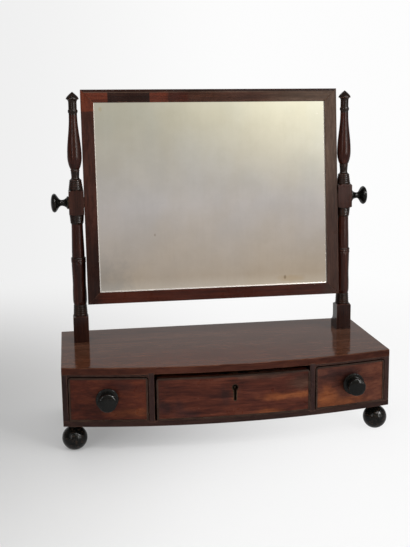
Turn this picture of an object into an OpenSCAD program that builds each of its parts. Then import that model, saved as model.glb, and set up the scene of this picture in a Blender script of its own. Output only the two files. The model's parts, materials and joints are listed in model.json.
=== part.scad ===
// Dressing-table mirror: a bow-fronted box of three drawers on four ball feet carries two turned
// posts, and a rectangular glass tilts between them on a pair of clamping knobs.
// The front faces -Y, +Z is up, and the origin is under the middle of the whole, on the table.

/* [Case] */
// Width of the drawer box
case_w = 480; // [440:5:560]
// Depth of the drawer box at its two ends
case_d = 210; // [180:5:260]
// How far the front swells out in the middle
bow = 30; // [15:1:45]
// Height of the drawer box without its feet
case_h = 86; // [80:1:110]
// Thickness of the top board
top_t = 10; // [8:0.5:14]
// Thickness of the bottom board
bottom_t = 8; // [7:0.5:12]
// Thickness of the two side boards
side_t = 8; // [6:0.5:12]
// Thickness of the back board
back_t = 7; // [5:0.5:10]
// Thickness of the upright boards between the drawers
divider_t = 8; // [6:0.5:12]
// Depth to which a divider is housed in the boards above and below it
housing = 1.5; // [1:0.5:3]
// Width of the middle bay
middle_bay_w = 225; // [180:5:260]
// Thickness of the strip that lowers the ceiling of each small bay at the front
strip_t = 2.8; // [2:0.2:5]
// Depth of that strip, from the front inwards
strip_d = 14; // [10:1:20]
// Radius of the strip's rounded inner corners
strip_r = 5; // [3:0.5:8]
// Radius that softens the upper edge of the top board
top_edge_r = 1.2; // [0.6:0.2:2]

/* [Feet] */
// Radius of a ball foot
ball_r = 17.9; // [15:0.1:21]
// Height of a foot from the table to the case
foot_h = 40; // [38:1:48]
// Radius of the flat that each ball is worn to
sole_r = 5; // [4:0.5:7]
// Radius of the turned neck above the ball
foot_neck_r = 6.5; // [5:0.5:9]
// Radius of the collar under the case
foot_collar_r = 9; // [8:0.5:12]
// Thickness of that collar
foot_collar_t = 1.6; // [1:0.2:3]
// Radius of the round tenon in the bottom board
foot_tenon_r = 5; // [4:0.5:6]
// Length of that tenon
foot_tenon_h = 6; // [5:0.5:6.5]
// Distance of a foot's axis in from the end of the case
foot_inset_x = 15.2; // [12:0.2:24]
// Distance of a front foot's axis behind the bowed front, and of a back foot's before the back
foot_inset_y = 21.4; // [18:0.2:28]

/* [Posts] */
// Distance of a post's axis in from the end of the case
post_inset = 31.2; // [28:0.2:45]
// Distance of the posts' axes from the back of the case
post_d = 64.2; // [40:0.2:90]
// Height of a post above the case
post_h = 379; // [360:0.5:400]
// Width of the square block that the frame hangs from
block_w = 22.4; // [20:0.2:24]
// Width of the square block that stands on the case
low_block_w = 23.2; // [20:0.2:25]
// How far the lathe has rounded down the corners of a block where a turning starts
block_shoulder = 2; // [1:0.5:5]
// Height of the block that stands on the case
low_block_h = 41; // [36:0.1:50]
// Height of the block that the frame hangs from
pivot_block_h = 38; // [32:0.5:42]
// Height of the pivot above the case
pivot_h = 215; // [205:1:230]
// Length of the run of fine rings over the lower block
ring_run = 16.5; // [12:0.5:18]
// Number of fine rings in such a run
ring_count = 5; // [3:1:6]
// How far each fine ring stands proud
ring_proud = 0.5; // [0.3:0.1:0.8]
// Length of the shorter run under the pivot block
pivot_ring_run = 12; // [9:0.5:16]
// Length of the tapering run above the pivot block
upper_ring_run = 15; // [9:0.5:17]
// How far the widest rings lie inside the faces of the blocks
rings_in = 0.4; // [0:0.1:1.5]
// Height of the plain fillet between two turned members
fillet_h = 1; // [0.6:0.1:1.5]
// Height at which the three middle rings start, above the case
mid_ring_z = 123.3; // [100:0.1:128]
// Height of the three middle rings together
mid_ring_h = 8; // [7:0.5:15]
// Radius over the middle rings
mid_ring_r = 11.2; // [10:0.1:11.6]
// Number of middle rings
mid_ring_count = 3; // [2:1:4]
// How far each middle ring stands proud
mid_ring_proud = 0.8; // [0.4:0.1:1]
// Radius of the lower shaft at its waist
low_shaft_r = 10.1; // [8.6:0.1:10.4]
// How much the lower shaft thickens towards its ends
shaft_swell = 0.5; // [0.2:0.1:0.7]
// Radius of the upper shaft at its foot
upper_shaft_r = 9.6; // [8.2:0.1:9.8]
// Radius of the upper shaft at its head
upper_shaft_top_r = 8.6; // [7:0.1:9]
// Least radius of the hollow above the pivot block
hollow_r = 5.9; // [4.6:0.05:6]
// Height from the rings up to the narrowest place of the hollow
hollow_fall = 3.7; // [3:0.1:13]
// Height of the bead at the foot of the vase
vase_bead_h = 2; // [1.5:0.5:4]
// Height from the hollow's narrowest place up to the foot of the vase
hollow_rise = 11.6; // [7:0.1:13]
// Height from the foot of the vase to its greatest radius
belly_h = 19.5; // [14:0.5:20]
// Greatest radius of the vase
vase_r = 10.7; // [9.5:0.1:11.5]
// Height of the vase
vase_h = 82.4; // [70:0.2:90]
// Height of the rounded ring above the vase
neck_ring_h = 5.6; // [4:0.2:9]
// How far that ring stands proud
neck_ring_proud = 1.05; // [0.6:0.05:1.4]
// Radius of the neck above the vase
neck_r = 6.2; // [5:0.1:6.6]
// Radius of the rim of the cap
cap_r = 9.4; // [8.5:0.05:10.5]
// Height of the pointed cap above its rim
cap_h = 10; // [8:0.5:14]
// Height of the hollow that flares out under the rim
flare_h = 5; // [4:0.5:7]
// Radius of the tenon that holds a post in the top board
post_tenon_r = 7; // [5:0.5:8]
// Length of that tenon
post_tenon_h = 8; // [6:0.5:9]
// Depth of the shaped bracket behind each post
bracket_d = 10; // [6:0.5:14]
// Height of that bracket
bracket_h = 23; // [18:0.5:32]
// Height of the bracket's square foot
bracket_foot_h = 11; // [8:0.5:14]

/* [Mirror] */
// Height of the frame above the pivot
frame_up = 167; // [150:1:170]
// Height of the frame below the pivot
frame_down = 155; // [140:1:165]
// Thickness of the frame
frame_t = 17; // [15:0.5:20]
// Width of the two stiles
stile_w = 18.7; // [17:0.1:24]
// Width of the top rail
top_rail_w = 19; // [16:0.1:24]
// Width of the bottom rail
bottom_rail_w = 17.6; // [16:0.1:24]
// Thickness of the lip in front of the glass
lip_t = 4; // [3:0.5:6]
// Width of the rebate that holds the glass
rebate_w = 6; // [4:0.5:7]
// Thickness of the glass
glass_t = 3; // [2.5:0.5:4]
// Play round the glass and behind it
glass_play = 0.3; // [0.1:0.1:0.5]
// Thickness of the back board of the frame
panel_t = 6; // [4:0.5:7]
// Angle at which the top of the frame leans back
tilt = 5.3; // [-10:0.1:15]

/* [Swing screws] */
// Radius of the screws that the frame hangs on
screw_r = 2.5; // [2:0.1:3]
// Play between a screw and the holes that it turns in
screw_play = 0.05; // [0.02:0.01:0.09]
// How far a screw reaches into the stile behind its plate
screw_reach = 6; // [4:0.5:8]
// Empty length of the hole past the end of a screw
screw_spare = 1; // [0.5:0.5:2]
// Bevel at the end of a screw
screw_bevel = 0.8; // [0.4:0.2:1.2]
// How far a screw is let into its knob
screw_in_knob = 16; // [10:0.5:18]
// Thickness of the leather washer between post and frame
inner_washer_t = 0.6; // [0.4:0.1:1.5]
// Radius of that washer
inner_washer_r = 8; // [6:0.5:9]
// Thickness of the brass washer under the knob
outer_washer_t = 1; // [0.6:0.2:2]
// Radius of that washer
outer_washer_r = 9.5; // [8:0.5:11]
// Length of a knob from its washer to its tip
swing_knob_l = 25.6; // [24:0.2:30]
// Distance of the knob's disc from its foot
swing_disc_z = 19; // [14:0.5:19]
// Thickness of the knob's foot
swing_foot_t = 1.2; // [0.8:0.1:2]
// Thickness of the disc at its rim
swing_rim_t = 2.6; // [2:0.2:4]
// Height of the knob's narrowest place
swing_neck_z = 9; // [7:0.5:11]
// Radius of the knob's disc
swing_knob_r = 14.3; // [12:0.1:17]
// Radius of the knob's neck
swing_neck_r = 4.6; // [4.5:0.1:6]
// Radius of the knob's foot
swing_foot_r = 9.8; // [8:0.1:11]
// Length of the brass plate let into the stile
plate_l = 28; // [22:1:36]
// Width of that plate
plate_w = 11; // [8:0.5:13]
// Thickness of that plate
plate_t = 2.5; // [2:0.5:4]

/* [Drawers] */
// Thickness of a drawer front
front_t = 16; // [14:0.5:18]
// Thickness of the sides and back of a drawer
wall_t = 6; // [5:0.5:8]
// Thickness of a drawer bottom
floor_t = 4; // [3:0.5:5]
// Height of the drawer bottom above the lower edge of the sides
floor_z = 4; // [3:0.5:6]
// Depth of the grooves that hold the drawer bottom
groove = 2.5; // [2:0.25:3.5]
// How far the drawer sides stay below the top of their front
side_drop = 6; // [5:0.5:12]
// Gap under a drawer
run_gap = 0.3; // [0.2:0.1:0.5]
// Gap at each side of a small drawer
side_gap = 1.1; // [0.6:0.1:1.6]
// Gap over a small drawer front
small_top_gap = 1.6; // [1:0.1:2.4]
// Gap over the middle drawer front, opened by wear
middle_top_gap = 6.4; // [4:0.1:7]
// Mean gap at each side of the middle drawer
middle_side_gap = 1.7; // [1.5:0.1:2.4]
// How far the middle drawer sits to the right of its bay's middle
middle_shift = 1.3; // [0:0.1:1.4]
// Gap between a drawer and the back board that stops it
stop_gap = 0.5; // [0.3:0.1:1]
// Radius of the upper corners of a drawer front
front_corner_r = 4; // [2:0.5:6]
// Width of the cockbead round a drawer front
bead_w = 2.2; // [1.6:0.2:3]
// Depth to which the cockbead is let in
bead_d = 4; // [3:0.2:4.2]
// How far the cockbead stands proud of the front
bead_proud = 0.9; // [0.4:0.1:1.2]
// Wood left in front of the dovetails
lap = 4.6; // [4.4:0.2:6]
// Number of dovetails on each corner
tail_count = 2; // [2:1:3]
// Width of a dovetail at its broad end
tail_w = 17; // [12:0.5:18]
// How much narrower a dovetail is at its root, on each side
tail_slope = 1.6; // [1:0.2:2.4]

/* [Drawer knobs] */
// Distance of a drawer knob from the middle of the case
knob_x = 178.5; // [160:0.5:190]
// Height of the knobs above the drawer floor of the case
knob_z = 35; // [28:0.5:40]
// How far a knob stands out from the front
knob_l = 29; // [22:0.5:32]
// Radius of a knob's rim
knob_r = 16; // [14:0.2:18]
// Radius of a knob's neck
knob_neck_r = 6.6; // [5.5:0.1:8]
// Radius of the collar against the drawer front
knob_collar_r = 9.6; // [8:0.2:11]
// How far the collar stands out in front of the drawer
knob_collar_t = 2.4; // [1.6:0.2:3.2]
// Thickness of a knob's rim
knob_rim_t = 3.2; // [2.4:0.2:4]
// Radius of the raised boss inside the rim
knob_boss_r = 12.8; // [11.6:0.1:13.6]
// Height of that boss's dome
knob_boss_h = 3; // [2:0.2:5]
// Radius of the boss where it leaves the rim
knob_waist_r = 11.6; // [8:0.2:12]
// How far behind the rim the front of the drawer lies
knob_rim_z = 6.8; // [5.6:0.2:9]
// Radius of the knob's tenon
knob_tenon_r = 4.5; // [3.5:0.5:5]
// Length of the knob's tenon
knob_tenon_l = 8; // [6:0.5:9]
// Play round the collar in its sunk seat
knob_seat_play = 0.4; // [0.2:0.1:0.8]

/* [Lock] */
// Width of the lock
lock_w = 42; // [36:1:54]
// Height of the lock
lock_h = 38; // [34:1:44]
// Depth of the lock
lock_t = 8; // [7:0.5:9]
// Thickness of the plate along its upper edge
selvedge_t = 1.5; // [1:0.5:2.5]
// Width of the bolt
bolt_w = 12; // [9:0.5:16]
// Thickness of the bolt
bolt_t = 3.6; // [3:0.2:4.4]
// Height of the bolt
bolt_h = 15; // [13:0.5:18]
// Play round the bolt
bolt_play = 0.15; // [0.1:0.05:0.3]
// Travel of the bolt
bolt_throw = 9; // [8:0.5:10]
// Depth of the mortise that the bolt enters, in the top board
mortise_h = 4; // [3.5:0.5:5]
// Play round the bolt in that mortise
mortise_play = 1; // [0.5:0.25:1.5]
// Height of the keyhole's round head above the lock's lower edge
key_z = 20; // [16:0.5:24]
// Outer radius of the escutcheon's head
escutcheon_r = 4.9; // [4.4:0.1:6]
// Height of the escutcheon from its foot to its crown
escutcheon_h = 24.8; // [20:0.2:28]
// Width of the escutcheon's stem
escutcheon_stem_w = 5.6; // [4.6:0.1:6.6]
// How much its stem narrows towards the foot, on each side
escutcheon_taper = 0.4; // [0:0.1:0.8]
// How far the escutcheon stands proud of the wood
escutcheon_proud = 0.1; // [0:0.05:0.3]
// Wall of the escutcheon
escutcheon_wall = 0.9; // [0.6:0.1:1.4]
// Depth of the escutcheon
escutcheon_d = 3; // [2:0.5:4]
// Radius of the pin that the key's barrel turns on
key_pin_r = 1.3; // [1:0.1:1.6]

/* [Hidden] */

MAHOGANY = "#4a2a22";
FIGURED = "#6d3a28";
EBONISED = "#1d1b19";
PINE = "#b08d5e";
BRASS = "#a8874a";
LEATHER = "#5b4030";
SILVERED = "#c9c8bf";

// Segments of a turned part, and of the great circle that the bowed front is cut to
TURNED_FN = 64;
BOW_FN = 720;
$fn = TURNED_FN;
// Points on a short curve of a turned outline
STEPS = 6;
// Points on a long one
LONG_STEPS = 14;
// How soon a swell fills out, how early a vase narrows, and how blunt a pointed cap is
SWELL_LEAN = 0.75;
VASE_LEAN = 1.1;
// Below one, the back of a swing knob keeps the width of its neck longer and opens late
TRUMPET_LEAN = 0.7;
POINT_LEAN = 1.45;
// Share of its thickness by which the round rim of a knob bulges out
RIM_BULGE = 0.25;
// Extra length of a cutting tool past the face it cuts
CUT = 1;
// How far the joined forms of one solid run into each other
WELD = 0.5;

// The bow is an arc through the two front corners; its radius follows from chord and rise
bow_r = (pow(case_w / 2, 2) + bow * bow) / (2 * bow);
bow_centre_d = case_d + bow - bow_r;
// Distance of the front surface from the plane of the back, at a distance x from the middle
function surface_d(x) = bow_centre_d + sqrt(bow_r * bow_r - x * x);

// The deepest point is the tip of a drawer knob, so the middle of the depth lies between it and the back
back_y = (surface_d(knob_x) + knob_l) / 2;
// Y of a point that lies a distance d in front of the back
function y_at(d) = back_y - d;
bow_y = y_at(bow_centre_d);

case_z = foot_h;
bay_z = case_z + bottom_t;
ceiling_z = case_z + case_h - top_t;
top_z = case_z + case_h;
divider_x = middle_bay_w / 2 + divider_t / 2;
small_bay_x = middle_bay_w / 2 + divider_t;
bay_end_x = case_w / 2 - side_t;
small_ceiling_z = ceiling_z - strip_t;

post_x = case_w / 2 - post_inset;
post_y = y_at(post_d);
pivot_z = top_z + pivot_h;
// Radius between the rings where they meet a block
ring_base_r = block_w / 2 - rings_in - ring_proud;
foot_x = case_w / 2 - foot_inset_x;
foot_front_y = y_at(surface_d(foot_x) - foot_inset_y);
foot_back_y = y_at(foot_inset_y);

frame_w = 2 * (post_x - block_w / 2 - inner_washer_t);
knob_face_x = post_x + block_w / 2 + outer_washer_t;
plate_x = frame_w / 2 - plate_t;
screw_tip_x = plate_x - screw_reach;

// Drawers, in the order left, middle, right
LEFT = 0;
MIDDLE = 1;
RIGHT = 2;
front_x0 = [
    side_gap - bay_end_x,
    middle_shift + middle_side_gap - middle_bay_w / 2,
    small_bay_x + side_gap,
];
front_x1 = [-front_x0[RIGHT], middle_shift - middle_side_gap + middle_bay_w / 2, -front_x0[LEFT]];
front_z0 = bay_z + run_gap;
front_z1 = [small_ceiling_z - small_top_gap, ceiling_z - middle_top_gap, small_ceiling_z - small_top_gap];
drawer_back_y = y_at(back_t + stop_gap);
floor_z0 = front_z0 + floor_z;
floor_z1 = floor_z0 + floor_t;
function side_z1(i) = front_z1[i] - side_drop;

lock_x = (front_x0[MIDDLE] + front_x1[MIDDLE]) / 2;
lock_z1 = front_z1[MIDDLE];
lock_z0 = lock_z1 - lock_h;
key_head_z = lock_z0 + key_z;
// The lock lies flush with the inner face of the front, where that is deepest
lock_back_y = y_at(surface_d(lock_x + lock_w / 2) - front_t);
lock_front_y = lock_back_y - lock_t;
bolt_y = (lock_back_y + lock_front_y) / 2;
escutcheon_y = y_at(surface_d(0)) - escutcheon_proud;

// Curves of the turned parts, as lists of [radius, height] that run upwards

// A half-round ring that stands proud of radius r, from height z up
function ring(z, h, r, proud) =
    [for (i = [0:STEPS]) [r + proud * sin(180 * i / STEPS), z + h * (1 - cos(180 * i / STEPS)) / 2]];
// A run of n rings whose radius changes evenly from r0 to r1
function ring_stack(z, h, r0, r1, n, proud) =
    [for (k = [0:n - 1]) each ring(z + h * k / n, h / n, r0 + (r1 - r0) * k / (n - 1), proud)];
// A soft S between two radii, upright at both ends
function sweep(z0, r0, z1, r1, lean = 1) =
    [
        for (i = [0:LONG_STEPS])
            let (t = i / LONG_STEPS)
                [r1 + (r0 - r1) * pow((1 + cos(180 * t)) / 2, lean), z0 + (z1 - z0) * t]
    ];
// A curve that leaves r0 at a slope and reaches r1 upright
function swell(z0, r0, z1, r1) =
    [
        for (i = [0:LONG_STEPS])
            let (t = i / LONG_STEPS)
                [r0 + (r1 - r0) * pow(sin(90 * t), SWELL_LEAN), z0 + (z1 - z0) * t]
    ];
// A hollow that leaves r0 upright and flares out to r1
function flare(z0, r0, z1, r1) =
    [for (i = [0:STEPS]) [r1 + (r0 - r1) * cos(90 * i / STEPS), z0 + (z1 - z0) * sin(90 * i / STEPS)]];
// A half-ellipse that closes a turned end
function dome(z, h, r) =
    [for (i = [0:LONG_STEPS]) [r * cos(90 * i / LONG_STEPS), z + h * sin(90 * i / LONG_STEPS)]];
// A pointed cap with a rounded rim
function pointed(z, h, r) =
    [
        for (i = [0:LONG_STEPS])
            let (t = pow(i / LONG_STEPS, POINT_LEAN))
                [r * (1 - pow(t, POINT_LEAN)), z + h * t]
    ];

// A closed solid turned on the Z axis from points that run upwards
module turned(points) {
    first = points[0];
    last = points[len(points) - 1];
    rotate_extrude() polygon(concat([[0, first[1]]], points, [[0, last[1]]]));
}

// Everything behind the bowed front moved in by inset, between two heights
module behind_bow(inset, z0, z1) {
    translate([0, bow_y, z0]) cylinder(r = bow_r - inset, h = z1 - z0, $fn = BOW_FN);
}

// A box between two corners
module span(a, b) {
    translate(a) cube(b - a);
}

// A prism along X whose outline is drawn in Y and Z
module along_x(x0, x1) {
    translate([x0, 0, 0]) rotate([90, 0, 90]) linear_extrude(x1 - x0) children();
}

// A prism along Y whose outline is drawn in X and Z
module along_y(y0, y1) {
    translate([0, y1, 0]) rotate([90, 0, 0]) linear_extrude(y1 - y0) children();
}

// The child as drawn for the right-hand side, or its mirror image
module on_side(side) {
    mirror([side < 0 ? 1 : 0, 0, 0]) children();
}

// Case

// A board of the case between two sides, two heights and a plane d in front of the back
module bowed_board(x0, x1, z0, z1, d = 0) {
    intersection() {
        span([x0, y_at(case_d + bow + CUT), z0], [x1, y_at(d), z1]);
        behind_bow(0, z0, z1);
    }
}

// The housings that both dividers stand in
module housings(z0, z1) {
    for (x = [-divider_x, divider_x])
        span(
            [x - divider_t / 2, y_at(case_d + bow + CUT), z0],
            [x + divider_t / 2, y_at(back_t), z1]
        );
}

// Tool that rounds an upper edge: the square corner less its quarter round
module edge_profile() {
    difference() {
        square(top_edge_r + CUT);
        circle(top_edge_r);
    }
}

// What the softened upper edges of the top board lose
module top_edge_cut() {
    z = top_z - top_edge_r;
    translate([0, bow_y, z])
        rotate_extrude($fn = BOW_FN) translate([bow_r - top_edge_r, 0]) edge_profile();
    for (side = [-1, 1])
        on_side(side)
            translate([case_w / 2 - top_edge_r, back_y + CUT, z])
                rotate([90, 0, 0]) linear_extrude(case_d + bow + 2 * CUT) edge_profile();
}

module top_board() {
    color(MAHOGANY) difference() {
        bowed_board(-case_w / 2, case_w / 2, ceiling_z, top_z);
        top_edge_cut();
        housings(ceiling_z - CUT, ceiling_z + housing);
        for (side = [-1, 1])
            translate([side * post_x, post_y, top_z - post_tenon_h])
                cylinder(r = post_tenon_r, h = post_tenon_h + CUT);
        translate([lock_x, bolt_y, ceiling_z - CUT])
            linear_extrude(mortise_h + CUT) bolt_outline(mortise_play);
    }
}

module bottom_board() {
    color(MAHOGANY) difference() {
        bowed_board(-case_w / 2, case_w / 2, case_z, bay_z);
        housings(bay_z - housing, bay_z + CUT);
        for (x = [-foot_x, foot_x], y = [foot_front_y, foot_back_y])
            translate([x, y, case_z - CUT]) cylinder(r = foot_tenon_r, h = foot_tenon_h + CUT);
    }
}

module case_side(side) {
    color(MAHOGANY) on_side(side) bowed_board(bay_end_x, case_w / 2, bay_z, ceiling_z);
}

module back_board() {
    color(PINE) span([-bay_end_x, y_at(back_t), bay_z], [bay_end_x, back_y, ceiling_z]);
}

module divider(side) {
    x = middle_bay_w / 2;
    color(MAHOGANY) on_side(side)
        bowed_board(x, x + divider_t, bay_z - housing, ceiling_z + housing, back_t);
}

// The strip runs along the bowed front, and its two inner corners are hollowed out
module top_strip(side) {
    low_z = small_ceiling_z - strip_r;
    w = bay_end_x - small_bay_x;
    color(MAHOGANY) on_side(side) intersection() {
        along_y(y_at(case_d + bow), y_at(case_d - strip_d - bow))
            translate([small_bay_x, low_z]) difference() {
                square([w, ceiling_z - low_z]);
                translate([strip_r, 0]) square([w - 2 * strip_r, strip_r]);
                for (x = [strip_r, w - strip_r])
                    translate([x, 0]) circle(strip_r);
            }
        difference() {
            behind_bow(0, low_z, ceiling_z);
            behind_bow(strip_d, low_z - CUT, ceiling_z + CUT);
        }
    }
}

// Feet

// A ball with a worn sole, a neck, a collar under the case and a tenon in it
module foot(x, y) {
    centre_z = sqrt(ball_r * ball_r - sole_r * sole_r);
    sole_angle = asin(sole_r / ball_r);
    neck_angle = 180 - asin(foot_neck_r / ball_r);
    ball_steps = 2 * LONG_STEPS;
    ball = [
        for (i = [0:ball_steps])
            let (a = sole_angle + (neck_angle - sole_angle) * i / ball_steps)
                [ball_r * sin(a), centre_z - ball_r * cos(a)]
    ];
    collar_z = foot_h - foot_collar_t;
    color(EBONISED) translate([x, y, 0]) turned(concat(
        ball,
        [[foot_neck_r, collar_z - foot_collar_t]],
        [[foot_collar_r, collar_z], [foot_collar_r, foot_h]],
        [[foot_tenon_r, foot_h], [foot_tenon_r, foot_h + foot_tenon_h]]
    ));
}

// Posts

// A square block whose corners are rounded off on the lathe where the turning meets them
module block(w, z0, z1, round_foot) {
    half = w / 2;
    corner_r = half * sqrt(2);
    intersection() {
        translate([-half, -half, z0]) cube([w, w, z1 - z0]);
        turned(concat(
            round_foot ? [[half, z0], [corner_r, z0 + block_shoulder]] : [[corner_r, z0]],
            [[corner_r, z1 - block_shoulder], [half, z1]]
        ));
    }
}

// The turning between the two blocks, from the lower one up
module lower_turning(z0, z1) {
    low_end_r = low_shaft_r + shaft_swell;
    low_z0 = z0 + ring_run + fillet_h;
    mid_z0 = top_z + mid_ring_z;
    mid_z1 = mid_z0 + mid_ring_h;
    mid_base_r = mid_ring_r - mid_ring_proud;
    waist_z = (low_z0 + mid_z0) / 2;
    high_z1 = z1 - pivot_ring_run;
    high_end_r = (upper_shaft_top_r + ring_base_r) / 2;
    turned(concat(
        [[ring_base_r, z0 - WELD]],
        ring_stack(z0, ring_run, ring_base_r, low_shaft_r - ring_proud, ring_count, ring_proud),
        swell(low_z0, low_shaft_r - ring_proud, low_z0 + ring_run / 2, low_end_r),
        sweep(low_z0 + ring_run, low_end_r, waist_z, low_shaft_r),
        sweep(waist_z + fillet_h, low_shaft_r, mid_z0 - fillet_h, low_end_r),
        ring_stack(mid_z0, mid_ring_h, mid_base_r, mid_base_r, mid_ring_count, mid_ring_proud),
        sweep(mid_z1 + fillet_h, upper_shaft_r, high_z1 - 2 * fillet_h, upper_shaft_top_r),
        ring_stack(high_z1, pivot_ring_run, high_end_r, ring_base_r, ring_count, ring_proud),
        [[ring_base_r, z1 + WELD]]
    ));
}

// The turning above the pivot block: rings, hollow, vase, ring and pointed cap
module upper_turning(z0, z1) {
    hollow_top_r = hollow_r + ring_proud;
    rings_top_r = (ring_base_r + hollow_r) / 2 + ring_proud;
    rings_z1 = z0 + upper_ring_run;
    hollow_z = rings_z1 + hollow_fall;
    vase_z = hollow_z + hollow_rise;
    vase_z1 = vase_z + vase_h;
    bead_z = vase_z - vase_bead_h;
    neck_ring_z = vase_z1 + fillet_h;
    rim_z = z1 - cap_h;
    turned(concat(
        [[ring_base_r, z0 - WELD]],
        ring_stack(z0, upper_ring_run, ring_base_r, rings_top_r, ring_count, ring_proud),
        swell(rings_z1 + ring_proud, rings_top_r, hollow_z, hollow_r),
        sweep(hollow_z + fillet_h, hollow_r, bead_z - ring_proud, hollow_top_r),
        ring(bead_z, vase_z - bead_z, hollow_top_r, ring_proud),
        swell(vase_z + ring_proud, hollow_top_r, vase_z + belly_h, vase_r),
        sweep(vase_z + belly_h + fillet_h, vase_r, vase_z1, neck_r, VASE_LEAN),
        ring(neck_ring_z, neck_ring_h, neck_r, neck_ring_proud),
        [[neck_r, rim_z - flare_h - fillet_h]],
        flare(rim_z - flare_h - fillet_h / 2, neck_r, rim_z - fillet_h, cap_r),
        pointed(rim_z, cap_h, cap_r)
    ));
}

module post(side) {
    block_z0 = pivot_z - pivot_block_h / 2;
    block_z1 = pivot_z + pivot_block_h / 2;
    low_z1 = top_z + low_block_h;
    color(MAHOGANY) difference() {
        translate([side * post_x, post_y, 0]) {
            translate([0, 0, top_z - post_tenon_h]) cylinder(r = post_tenon_r, h = post_tenon_h + WELD);
            block(low_block_w, top_z, low_z1, false);
            lower_turning(low_z1, block_z0);
            block(block_w, block_z0, block_z1, true);
            upper_turning(block_z1, top_z + post_h);
        }
        on_side(side) translate([0, post_y, pivot_z])
            pivot_hole(post_x - block_w / 2 - CUT, post_x + block_w / 2 + CUT, screw_r + screw_play);
    }
}

// A small bracket that steadies the foot of a post from behind, hollowed above its square foot
module bracket(side) {
    half = low_block_w / 2;
    color(MAHOGANY) on_side(side) translate([0, post_y + half, top_z])
        along_x(post_x - half, post_x + half)
            polygon(concat([[0, 0]], flare(bracket_h, 0, bracket_foot_h, bracket_d), [[bracket_d, 0]]));
}

// Mirror

// Places children, drawn about the pivot with the glass upright, at the angle of the frame
module hung() {
    translate([0, post_y, pivot_z]) rotate([-tilt, 0, 0]) children();
}

// Section of a frame member: X across it from its outer edge, Y through the frame from the front
module member_section(w) {
    difference() {
        translate([0, -frame_t / 2]) square([w, frame_t]);
        translate([w - rebate_w, lip_t - frame_t / 2]) square([rebate_w + CUT, frame_t]);
    }
}

// A straight member along Z or X from its outer edge at distance out from the pivot, inwards
module stile_blank() {
    translate([frame_w / 2, 0, -frame_down])
        mirror([1, 0, 0]) linear_extrude(frame_up + frame_down) member_section(stile_w);
}

module rail_blank(w, out, top) {
    translate([-frame_w / 2, 0, out])
        rotate([0, 90, 0]) linear_extrude(frame_w)
            mirror([top ? 0 : 1, 0]) member_section(w);
}

// Mitred ends meet on the line from an outer corner to the inner corner of the frame
module stile_outline() {
    x = frame_w / 2;
    polygon([
        [x, frame_up], [x - stile_w, frame_up - top_rail_w],
        [x - stile_w, bottom_rail_w - frame_down], [x, -frame_down],
    ]);
}

module rail_outline(w, out, top) {
    x = frame_w / 2;
    inner_z = out + (top ? -w : w);
    polygon([[-x, out], [x, out], [x - stile_w, inner_z], [stile_w - x, inner_z]]);
}

module frame_stile(side) {
    color(MAHOGANY) hung() on_side(side) difference() {
        intersection() {
            stile_blank();
            along_y(-frame_t, frame_t) stile_outline();
        }
        plate_pocket();
    }
}

module frame_rail(w, out, top) {
    color(MAHOGANY) hung() intersection() {
        rail_blank(w, out, top);
        along_y(-frame_t, frame_t) rail_outline(w, out, top);
    }
}

// A sheet that fills the rebate, less the play, between two depths from the face
module in_rebate(d0, d1) {
    x = frame_w / 2 - stile_w + rebate_w - glass_play;
    span(
        [-x, d0 - frame_t / 2, bottom_rail_w - rebate_w + glass_play - frame_down],
        [x, d1 - frame_t / 2, frame_up - top_rail_w + rebate_w - glass_play]
    );
}

module mirror_glass() {
    color(SILVERED) hung() in_rebate(lip_t, lip_t + glass_t);
}

module mirror_back() {
    d = lip_t + glass_t + glass_play;
    color(PINE) hung() in_rebate(d, d + panel_t);
}

// A round hole of radius r about the pivot, on the right, between two distances from the middle
module pivot_hole(x0, x1, r) {
    translate([x0, 0, 0]) rotate([0, 90, 0]) cylinder(r = r, h = x1 - x0);
}

module plate_blank(x1) {
    span([plate_x, -plate_w / 2, -plate_l / 2], [x1, plate_w / 2, plate_l / 2]);
}

// Space of the nut plate, and of the screw's end behind it
module plate_pocket() {
    plate_blank(frame_w / 2 + CUT);
    pivot_hole(screw_tip_x - screw_spare, plate_x + CUT, screw_r + 2 * screw_play);
}

module nut_plate(side) {
    color(BRASS) hung() on_side(side) difference() {
        plate_blank(frame_w / 2);
        pivot_hole(plate_x - CUT, frame_w / 2 + CUT, screw_r + screw_play);
    }
}

// Swing screws

// Places children, drawn on Z with their foot at zero, along the right-hand pivot from x outwards
module on_pivot(side, x) {
    on_side(side) translate([x, post_y, pivot_z]) rotate([0, 90, 0]) children();
}

module washer(side, x, r, t) {
    on_pivot(side, x) difference() {
        cylinder(r = r, h = t);
        translate([0, 0, -CUT]) cylinder(r = screw_r + screw_play, h = t + 2 * CUT);
    }
}

module inner_washer(side) {
    color(LEATHER) washer(side, frame_w / 2, inner_washer_r, inner_washer_t);
}

module outer_washer(side) {
    color(BRASS) washer(side, knob_face_x - outer_washer_t, outer_washer_r, outer_washer_t);
}

module swing_screw(side) {
    color(BRASS) on_pivot(side, screw_tip_x) turned([
        [screw_r - screw_bevel, 0],
        [screw_r, screw_bevel],
        [screw_r, knob_face_x + screw_in_knob - screw_tip_x],
    ]);
}

// A turned knob: wide foot, slim neck, broad disc with a half-round rim and a domed face
module swing_knob(side) {
    rim_z1 = swing_disc_z + swing_rim_t;
    rim_r = swing_knob_r - RIM_BULGE * swing_rim_t;
    color(EBONISED) on_pivot(side, knob_face_x) difference() {
        turned(concat(
            [[swing_foot_r, 0], [swing_foot_r, swing_foot_t]],
            swell(swing_foot_t + ring_proud, swing_foot_r - fillet_h, swing_neck_z, swing_neck_r),
            sweep(swing_neck_z + fillet_h, swing_neck_r, swing_disc_z - ring_proud, rim_r, TRUMPET_LEAN),
            ring(swing_disc_z, swing_rim_t, rim_r, RIM_BULGE * swing_rim_t),
            dome(rim_z1, swing_knob_l - rim_z1, rim_r)
        ));
        translate([0, 0, -CUT]) cylinder(r = screw_r, h = screw_in_knob + CUT);
    }
}

// Drawers

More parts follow.
